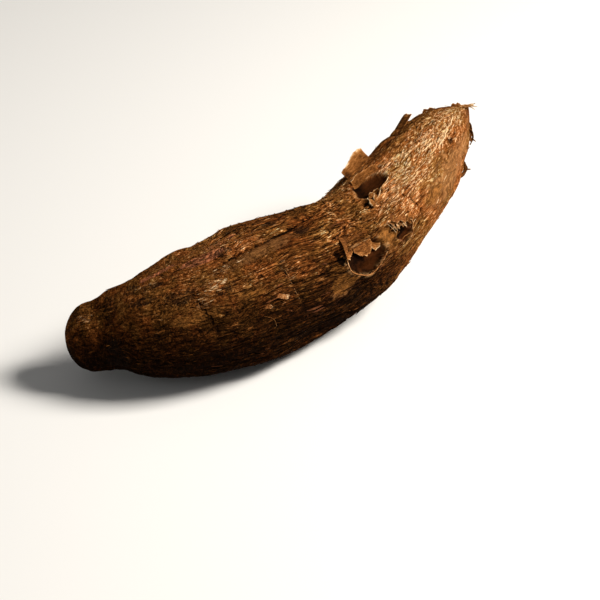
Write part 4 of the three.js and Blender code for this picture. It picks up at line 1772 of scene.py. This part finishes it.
@dataclass
class PeelRims:
    """The thin torn edges that stand round the peels."""

    form: RootForm
    faces: int = 64
    rows: int = 4
    place: float = 1.03
    sink: float = 0.9
    thickness: float = 0.3
    sharp_angle: float = 50.0

    def rims(self) -> tuple[Rim, ...]:
        """The edges that stand, named after their peels.

        Returns:
            The edges, in the order of their seeds.
        """
        long_peel, round_peel, hollow, far_neck, back, scuff = self.form.peels
        return (
            Rim("rim_of_round_peel", round_peel, 24, 204, 1.2, -0.3, 0.5, 0.4),
            Rim("rim_of_long_peel", long_peel, 10, 118, 0.8, 0.25, 0.66, 0.0),
            Rim("rim_of_hollow", hollow, -40, 80, 0.9, 0.2, 0.6, 0.4),
            Rim("rim_of_neck_peel", far_neck, 40, 200, 1.3, 0.2, 0.58, 0.1),
            Rim("rim_of_back_peel", back, 100, 260, 1.4, -0.2, 0.54, 0.2),
            Rim("rim_of_scuff", scuff, -60, 90, 0.9, 0.1, 0.48, 0.2),
        )

    def build(self, rim: Rim, seed: int) -> bpy.types.Object:
        """Models one edge: a long grid laid along the peel's outline, stood up and thickened.

        Args:
            rim: the edge's place and size.
            seed: another seed gives another torn edge.

        Returns:
            The edge's piece.
        """
        sheet = new_grid(rim.name, self.faces, self.rows)
        shape = mesh_points(sheet)
        along_rim, share = shape[:, 0] + 0.5, shape[:, 1] + 0.5
        way = np.radians(lerp(rim.start, rim.end, along_rim))
        spread = self.place * rim.peel.outline(way)
        at = rim.peel.at + rim.peel.along * spread * np.cos(way)
        angle = rim.peel.angle + rim.peel.round * spread * np.sin(way)
        spots = columns(way * 6.0, seed, 0.0)
        uneven = 0.72 + 0.3 * flow_noise(spots, seed) + 0.14 * flow_noise(spots * 3.3, seed + 1)
        height = rim.height * uneven * np.clip(np.sin(np.pi * along_rim), 0.0, 1.0) ** 0.35
        tangent, out, around = self.form.directions(at, angle)
        radius = self.form.radius(at)
        away = tangent * (np.cos(way) * rim.peel.along)[:, None]
        away += around * (np.sin(way) * np.radians(rim.peel.round) * radius)[:, None]
        away /= np.linalg.norm(away, axis=1, keepdims=True)
        rise, lean = lerp(-self.sink, height, share), rim.lean * share**2 * height
        points = self.form.point(at, angle) + out * rise[:, None] + away * lean[:, None]
        set_points(sheet, points * MM)
        set_values(
            sheet,
            flow=columns(way * 8.0, share * 2.0, 20.0 * seed) * MM,
            # Painted shade: the edge is darker towards its foot, where it meets the bark.
            tone=rim.tone - 0.14 * (1.0 - share),
            edge=ease(0.5, 1.0, share),
            red=rim.red,
        )
        thicken(sheet, self.thickness)
        smooth(sheet, self.sharp_angle)
        return sheet

    def build_all(self, material: bpy.types.Material) -> None:
        """Models and dresses every edge."""
        for seed, rim in enumerate(self.rims()):
            dress(self.build(rim, seed), material)


@dataclass
class LooseBark:
    """Small loose bark, modelled once and repeated: a blade that lies on the bark with one end or side up.

    It lies where the bark's value named cover is high, and in a few other places, up to the share named
    least. Sizes are ranges in millimetres. Its length may be off the grain by jitter degrees, and lightening
    and contrast say how its tone differs from the bark's.
    """

    surface: BarkSurface
    name: str
    count: int
    seed: int
    along: tuple[float, float]
    long: tuple[float, float]
    wide: tuple[float, float]
    lift: tuple[float, float]
    jitter: float
    cover: str
    least: float
    lightening: float
    contrast: float
    tip_up: bool = True
    faces_ahead: int = 3
    thickness: float = 0.14
    sink: float = 0.2
    clearance: tuple[float, float] = (1.0, 1.2)
    full_radius: float = 39.0
    red_share: float = 0.05
    tries: int = 6

    def places(self) -> tuple[np.random.Generator, Array, Array]:
        """Seeded places where the bark is loose, clear of bare skin, smooth patches, pits and the floor.

        Returns:
            The source of the copies' other values, and the length and the angle of each copy.
        """
        random = np.random.default_rng(self.seed)
        at = random.uniform(*self.along, self.count * self.tries)
        angle = random.uniform(-180.0, 180.0, self.count * self.tries)
        radius = self.surface.form.radius(at) * self.surface.form.closing(at)
        layers = self.surface.layers(at, angle)
        busy = np.maximum.reduce([layers["skin"], 0.9 * layers["smooth"], layers["pit"], layers["crack"]])
        busy = np.maximum(busy, 1.0 - ease(24.0, 44.0, np.abs(apart(angle, UNDERSIDE))))
        clear = np.min([peel.reach(at, angle) for peel in self.surface.form.peels], axis=0)
        busy = np.maximum(busy, 1.0 - ease(*self.clearance, clear))
        loose = np.maximum(layers[self.cover], self.least)
        keep = random.uniform(0.0, 1.0, len(at)) < loose * (radius / self.full_radius) * (1.0 - busy)
        return random, at[keep][: self.count], angle[keep][: self.count]

    def build(self, material: bpy.types.Material) -> bpy.types.Object:
        """Models the blade, repeats it over the bark and dresses the result.

        Args:
            material: the one material that it has.

        Returns:
            The piece, with all its copies.
        """
        blade = closed_blade(self.name + "_blade", 2, self.faces_ahead)
        shape = mesh_points(blade)
        random, at, angle = self.places()
        form, count = self.surface.form, len(at)

        def pick(low: float, high: float) -> Array:
            """One seeded value for each copy."""
            return random.uniform(low, high, count)[:, None]

        long, wide, lift = pick(*self.long), pick(*self.wide), pick(*self.lift)
        turn = np.radians(pick(-self.jitter, self.jitter))
        facing = np.where(pick(0, 1) < 0.5, -1.0, 1.0)
        phase, cup, shade = pick(0.0, 6.28), pick(0.0, 0.35), pick(-1.0, 1.0)
        x, y, z = (shape[:, k][None, :] for k in range(3))
        share = y + 0.5
        narrow = 1.0 - 0.75 * np.abs(2.0 * share - 1.0) ** 2.2
        u = wide * x * narrow + 0.06 * wide * np.sin(phase + 9.0 * y)
        v = long * y * facing
        place = at[:, None] + (v * np.cos(turn) - u * np.sin(turn))
        around = v * np.sin(turn) + u * np.cos(turn)
        radius = form.radius(at)[:, None]
        middle = np.broadcast_to(angle[:, None], place.shape)
        drift = self.surface.drifted(place.ravel(), middle.ravel()).reshape(place.shape)
        around = around + self.surface.drifted(at, angle)[:, None] - drift
        bend = angle[:, None] + np.degrees(around / radius)
        relief = self.surface.layers(place.ravel(), bend.ravel())["relief"].reshape(place.shape)
        foot = relief[:, share[0] < 0.2].mean(axis=1, keepdims=True)
        if self.tip_up:
            rise = lift * share**1.6 + cup * (2.0 * x) ** 2 * share
            base = lerp(relief, foot, np.minimum(share * 1.3, 1.0) * 0.7)
        else:
            rise = lift * (x + 0.5) ** 1.5 * np.sin(np.pi * share)
            base = 0.5 * relief + 0.5 * relief.mean(axis=1, keepdims=True)
        rise = rise - self.sink * (1.0 - np.minimum(3.0 * rise / lift, 1.0)) + self.thickness * z
        points = form.point(place, bend, base, rise)
        points[..., 2] = np.maximum(points[..., 2], 0.1)
        piece = repeated(self.name, blade, points * MM)
        tone = self.surface.layers(at, angle)["tone"][:, None] + self.lightening + self.contrast * shade
        edge = share**2 if self.tip_up else ease(0.0, 0.5, x)
        red = (pick(0, 1) < self.red_share) * 0.6
        tone, edge, red = (np.broadcast_to(value, place.shape).ravel() for value in (tone, edge, red))
        flow = (form.straightened(place, bend) * MM).reshape(-1, 3)
        set_values(piece, flow=flow, tone=tone, edge=edge, red=red)
        smooth(piece)
        dress(piece, material)
        return piece


@dataclass(frozen=True)
class Hair:
    """A rootlet or a fibre: where it starts, its two radii and its steps along, outwards and round."""

    at: float
    angle: float
    root: float
    end: float
    steps: tuple[tuple[float, float, float], ...]
    tone: float = 0.5


@dataclass
class Rootlets:
    """Root hairs, loose fibres and the frayed tail: tapering cords that grow out of the bark."""

    form: RootForm
    sides: int = 6
    rings: int = 14
    sink: float = 2.0
    hairs: tuple[Hair, ...] = (
        Hair(318, 102, 1.5, 0.7, ((2.4, 0.4, 3.0), (5.2, 0.5, 5.4)), 0.74),
        Hair(320, 103, 0.7, 0.25, ((3, 0.8, 3.4), (4.8, 1.9, 5.6)), 0.95),
        Hair(320, 105, 0.6, 0.2, ((3, 0.4, 4.4), (4.4, 0.4, 7.4)), 0.92),
        Hair(320, 107, 0.5, 0.2, ((2, 0.3, 4), (2.4, -0.6, 6.6)), 0.85),
        Hair(312, 190, 1.3, 0.6, ((-2, 2.4, 0), (-6, 4.0, 0.8), (-10, 3.6, 1.4), (-13, 1.0, 1.2)), 0.30),
        Hair(308, 186, 1.0, 0.4, ((0, 2.0, 0.6), (-3, 4.4, 2.0), (-7, 5.0, 3.6)), 0.26),
        Hair(303, 192, 0.8, 0.3, ((1, 2.4, 0), (0, 4.4, -1.0)), 0.36),
        Hair(286, 202, 1.6, 1.1, ((-1, 2.2, 0.5), (-4, 3.4, 1.2), (-8, 3.2, 1.6)), 0.30),
        Hair(283, 203, 0.9, 0.4, ((1, 2.4, 0), (2, 4.4, -0.6)), 0.36),
        Hair(30, 18, 1.2, 0.6, ((-2, 2.4, 0), (-6, 3.2, 1), (-9, 1.8, 3)), 0.3),
        Hair(150, 338, 1.3, 0.6, ((2, 2.6, 0), (6, 3.4, 2), (9, 1.8, 5)), 0.4),
        Hair(195.5, 137, 0.22, 0.12, ((0.6, 0.8, 3), (1.2, 1.0, 6), (1.7, 0.5, 9)), 0.9),
        Hair(197.5, 138, 0.18, 0.1, ((0.2, 0.8, 3), (0.9, 1.2, 5), (1.2, 0.6, 8)), 0.85),
        Hair(186, 108, 0.15, 0.1, ((0, 0.6, 3), (-1, 0.7, 6), (-1, 0.2, 9)), 0.6),
        Hair(70, 138, 0.18, 0.1, ((-0.5, 0.6, 3), (0.6, 0.7, 7), (0, 0.3, 11)), 0.7),
        Hair(112.5, 137, 0.17, 0.1, ((0.1, 0.4, 3), (0.8, -0.8, 10), (3, -3.7, 18)), 0.75),
        Hair(96, 168, 0.16, 0.1, ((2, 0.9, 1), (4, 0.7, 4), (4.5, 0.3, 7)), 0.6),
    )

    def build(self) -> bpy.types.Object:
        """Models one cord and repeats it along each hair's path.

        Returns:
            The piece, with all its hairs.
        """
        start_clean()
        bpy.ops.mesh.primitive_cylinder_add(vertices=self.sides, radius=1.0, depth=1.0, end_fill_type="NGON")
        cord = bpy.context.object
        with editing():
            for ring in range(1, self.rings):
                bpy.ops.mesh.select_all(action="SELECT")
                bpy.ops.mesh.bisect(plane_co=(0.0, 0.0, ring / self.rings - 0.5), plane_no=(0.0, 0.0, 1.0))
        shape = mesh_points(cord)
        share = shape[:, 2] + 0.5
        ring = np.rint(share * self.rings).astype(int)
        points, tones, straight = [], [], []
        for hair in self.hairs:
            path = self.path(hair)
            ahead = np.gradient(path, axis=0)
            ahead /= np.linalg.norm(ahead, axis=1, keepdims=True)
            side = np.cross(ahead, (0.31, 0.17, 0.93))
            side /= np.linalg.norm(side, axis=1, keepdims=True)
            up = np.cross(ahead, side)
            knots = 1.0 + 0.14 * np.sin(19.0 * share + hair.at)
            radius = (lerp(hair.root, hair.end, share) * knots)[:, None]
            points.append(path[ring] + radius * (side[ring] * shape[:, :1] + up[ring] * shape[:, 1:2]))
            tones.append(np.full(len(share), hair.tone))
            straight.append(columns(share * 10.0, shape[:, 0], shape[:, 1] + hair.at))
        piece = repeated("rootlets", cord, np.array(points) * MM)
        flow, edge = np.concatenate(straight) * MM, np.tile(share**3, len(self.hairs))
        set_values(piece, flow=flow, tone=np.concatenate(tones), edge=edge, red=0.0)
        select_only(piece)
        with editing():
            bpy.ops.mesh.normals_make_consistent(inside=False)
        smooth(piece, 50.0)
        return piece

    def path(self, hair: Hair) -> Array:
        """The middle line of one hair, from inside the bark to its end, one point for each ring.

        Args:
            hair: the hair.

        Returns:
            One point in millimetres for each ring.
        """
        place = np.array([float(hair.at)]), np.array([float(hair.angle)])
        tangent, out, around = (direction[0] for direction in self.form.directions(*place))
        start = self.form.point(*place)[0]
        stops = [start + tangent * a + out * b + around * c for a, b, c in hair.steps]
        inwards = start - stops[0]
        stops = [start + inwards / np.linalg.norm(inwards) * self.sink, start, *stops]
        rows = np.array([2 * stops[0] - stops[1], *stops, 2 * stops[-1] - stops[-2]])
        place = np.linspace(0.0, len(stops) - 1.0, self.rings + 1)
        i = np.minimum(place.astype(int), len(stops) - 2)
        t = (place - i)[:, None]
        a, b, c, d = (rows[i + k] for k in range(4))
        bend = (2 * a - 5 * b + 4 * c - d) * t**2 + (3 * b - a - 3 * c + d) * t**3
        return 0.5 * (2 * b + (c - a) * t + bend)


@dataclass(frozen=True)
class Lamp:
    """A square soft light: how far in metres it is to the right, nearer the camera and up, size and power."""

    name: str
    right: float
    nearer: float
    up: float
    size: float
    power: float
    colour: Colour


@dataclass
class Studio:
    """The pale floor, the soft lights and the camera at the photograph's viewing angle."""

    target: tuple[float, float, float] = (-0.03569, -0.03062, 0.040)
    azimuth: float = -39.372
    elevation: float = 32.0
    distance: float = 0.950
    lens: float = 101.79
    sensor_width: float = 36.0
    floor_size: float = 8.0
    floor_colour: Colour = (0.83, 0.82, 0.80)
    floor_roughness: float = 0.9
    world_colour: Colour = (0.86, 0.85, 0.83)
    world_strength: float = 0.16
    lamps: tuple[Lamp, ...] = (
        Lamp("key", 1.15, 0.0, 1.15, 0.55, 47.0, (1.0, 0.96, 0.90)),
        Lamp("fill", -0.9, 1.5, 1.2, 1.6, 3.2, (0.94, 0.97, 1.0)),
    )

    def directions(self) -> tuple[Vector, Vector]:
        """The directions back to the camera and to its right.

        Returns:
            The two directions.
        """
        a, e = math.radians(self.azimuth), math.radians(self.elevation)
        back = Vector((math.sin(a) * math.cos(e), -math.cos(a) * math.cos(e), math.sin(e)))
        return back, Vector((math.cos(a), math.sin(a), 0.0))

    def build_floor(self) -> None:
        """Models the floor: a level sheet whose far edge is out of sight."""
        floor = new_grid("floor", 4, 4)
        set_points(floor, mesh_points(floor) * self.floor_size)
        material = bpy.data.materials.new("Pale floor")
        material.use_nodes = True
        shader = material.node_tree.nodes["Principled BSDF"]
        shader.inputs["Base Color"].default_value = (*self.floor_colour, 1.0)
        shader.inputs["Roughness"].default_value = self.floor_roughness
        floor.data.materials.append(material)

    def put(self, name: str, data: bpy.types.ID, offset: Vector) -> bpy.types.Object:
        """Puts a light or a camera this far from the root, facing it.

        Args:
            name: the name of what is made.
            data: the light or the camera.
            offset: its place from the root, in metres.

        Returns:
            The new object.
        """
        holder = bpy.data.objects.new(name, data)
        holder.location = Vector(self.target) + offset
        holder.rotation_mode = "QUATERNION"
        holder.rotation_quaternion = (-offset).to_track_quat("-Z", "Y")
        bpy.context.scene.collection.objects.link(holder)
        return holder

    def build_lights(self) -> None:
        """Places a key light high on the right, a weak fill on the left and a pale surround."""
        back, right = self.directions()
        level = Vector((back.x, back.y, 0.0)).normalized()
        for lamp in self.lamps:
            light = bpy.data.lights.new(lamp.name, "AREA")
            light.size, light.energy, light.color = lamp.size, lamp.power, lamp.colour
            self.put(lamp.name, light, right * lamp.right + level * lamp.nearer + Vector((0.0, 0.0, lamp.up)))
        world = bpy.data.worlds.new("surround")
        world.use_nodes = True
        background = world.node_tree.nodes["Background"]
        background.inputs["Color"].default_value = (*self.world_colour, 1.0)
        background.inputs["Strength"].default_value = self.world_strength
        bpy.context.scene.world = world
        bpy.context.scene.view_settings.view_transform = "Standard"

    def build_camera(self) -> None:
        """Makes the camera and gives it to the scene."""
        data = bpy.data.cameras.new("camera")
        data.lens, data.sensor_width = self.lens, self.sensor_width
        bpy.context.scene.camera = self.put("camera", data, self.directions()[0] * self.distance)

    def build(self) -> None:
        """Builds the whole studio."""
        self.build_camera()
        self.build_floor()
        self.build_lights()


def loose_bark(surface: BarkSurface) -> tuple[LooseBark, ...]:
    """The five kinds of small loose bark.

    Args:
        surface: the bark that they lie on.

    Returns:
        The kinds, in the order in which they are built.
    """
    return (
        LooseBark(
            surface, "neck_scales", 850, 51, along=(188, 318), long=(2.8, 8.0), wide=(0.5, 1.4),
            lift=(0.25, 0.85), jitter=20.0, cover="fleck", least=0.04, lightening=0.09,
            contrast=0.17,
        ),
        LooseBark(
            surface, "neck_strands", 150, 55, along=(196, 312), long=(6.0, 15.0), wide=(0.4, 0.9),
            lift=(0.2, 0.6), jitter=9.0, cover="fleck", least=0.03, lightening=0.15, contrast=0.13,
            tip_up=False, faces_ahead=8, clearance=(1.3, 1.7),
        ),
        LooseBark(
            surface, "body_scales", 1000, 52, along=(10, 215), long=(1.8, 5.5), wide=(0.5, 1.3),
            lift=(0.15, 0.6), jitter=24.0, cover="ridged", least=0.3, lightening=0.04,
            contrast=0.17,
        ),
        LooseBark(
            surface, "splinters", 300, 53, along=(60, 232), long=(8.0, 24.0), wide=(0.4, 1.1),
            lift=(0.15, 0.6), jitter=4.0, cover="ridged", least=0.1, lightening=0.05, contrast=0.1,
            tip_up=False, faces_ahead=8,
        ),
        LooseBark(
            surface, "shreds", 64, 54, along=(8, 135), long=(2.4, 6.0), wide=(0.35, 0.8),
            lift=(0.15, 0.5), jitter=22.0, cover="scrape", least=0.0, lightening=0.32,
            contrast=0.16, tries=300,
        ),
    )


def main() -> None:
    """Builds the root and its studio."""
    logging.basicConfig(level=logging.INFO, format="%(name)s: %(message)s")
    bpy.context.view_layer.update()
    Studio().build()
    form = RootForm()
    surface = BarkSurface(form)
    finishes = Finishes(BarkFinish())

    body = BarkBody(surface)
    body.finish(body.build(), finishes)
    even, rough = finishes.shed("Even flake", 0.0013, 0.75), finishes.shed("Rough flake", 0.0009)
    StandingFlakes(form).build_all(even, rough)
    PeelRims(form).build_all(finishes.shed("Torn edge", 0.0010))
    shed = finishes.shed("Loose bark", 0.0009)
    for loose in loose_bark(surface):
        loose.build(shed)
    dress(Rootlets(form).build(), finishes.shed("Rootlets", 0.0006))


if __name__ == "__main__":
    main()
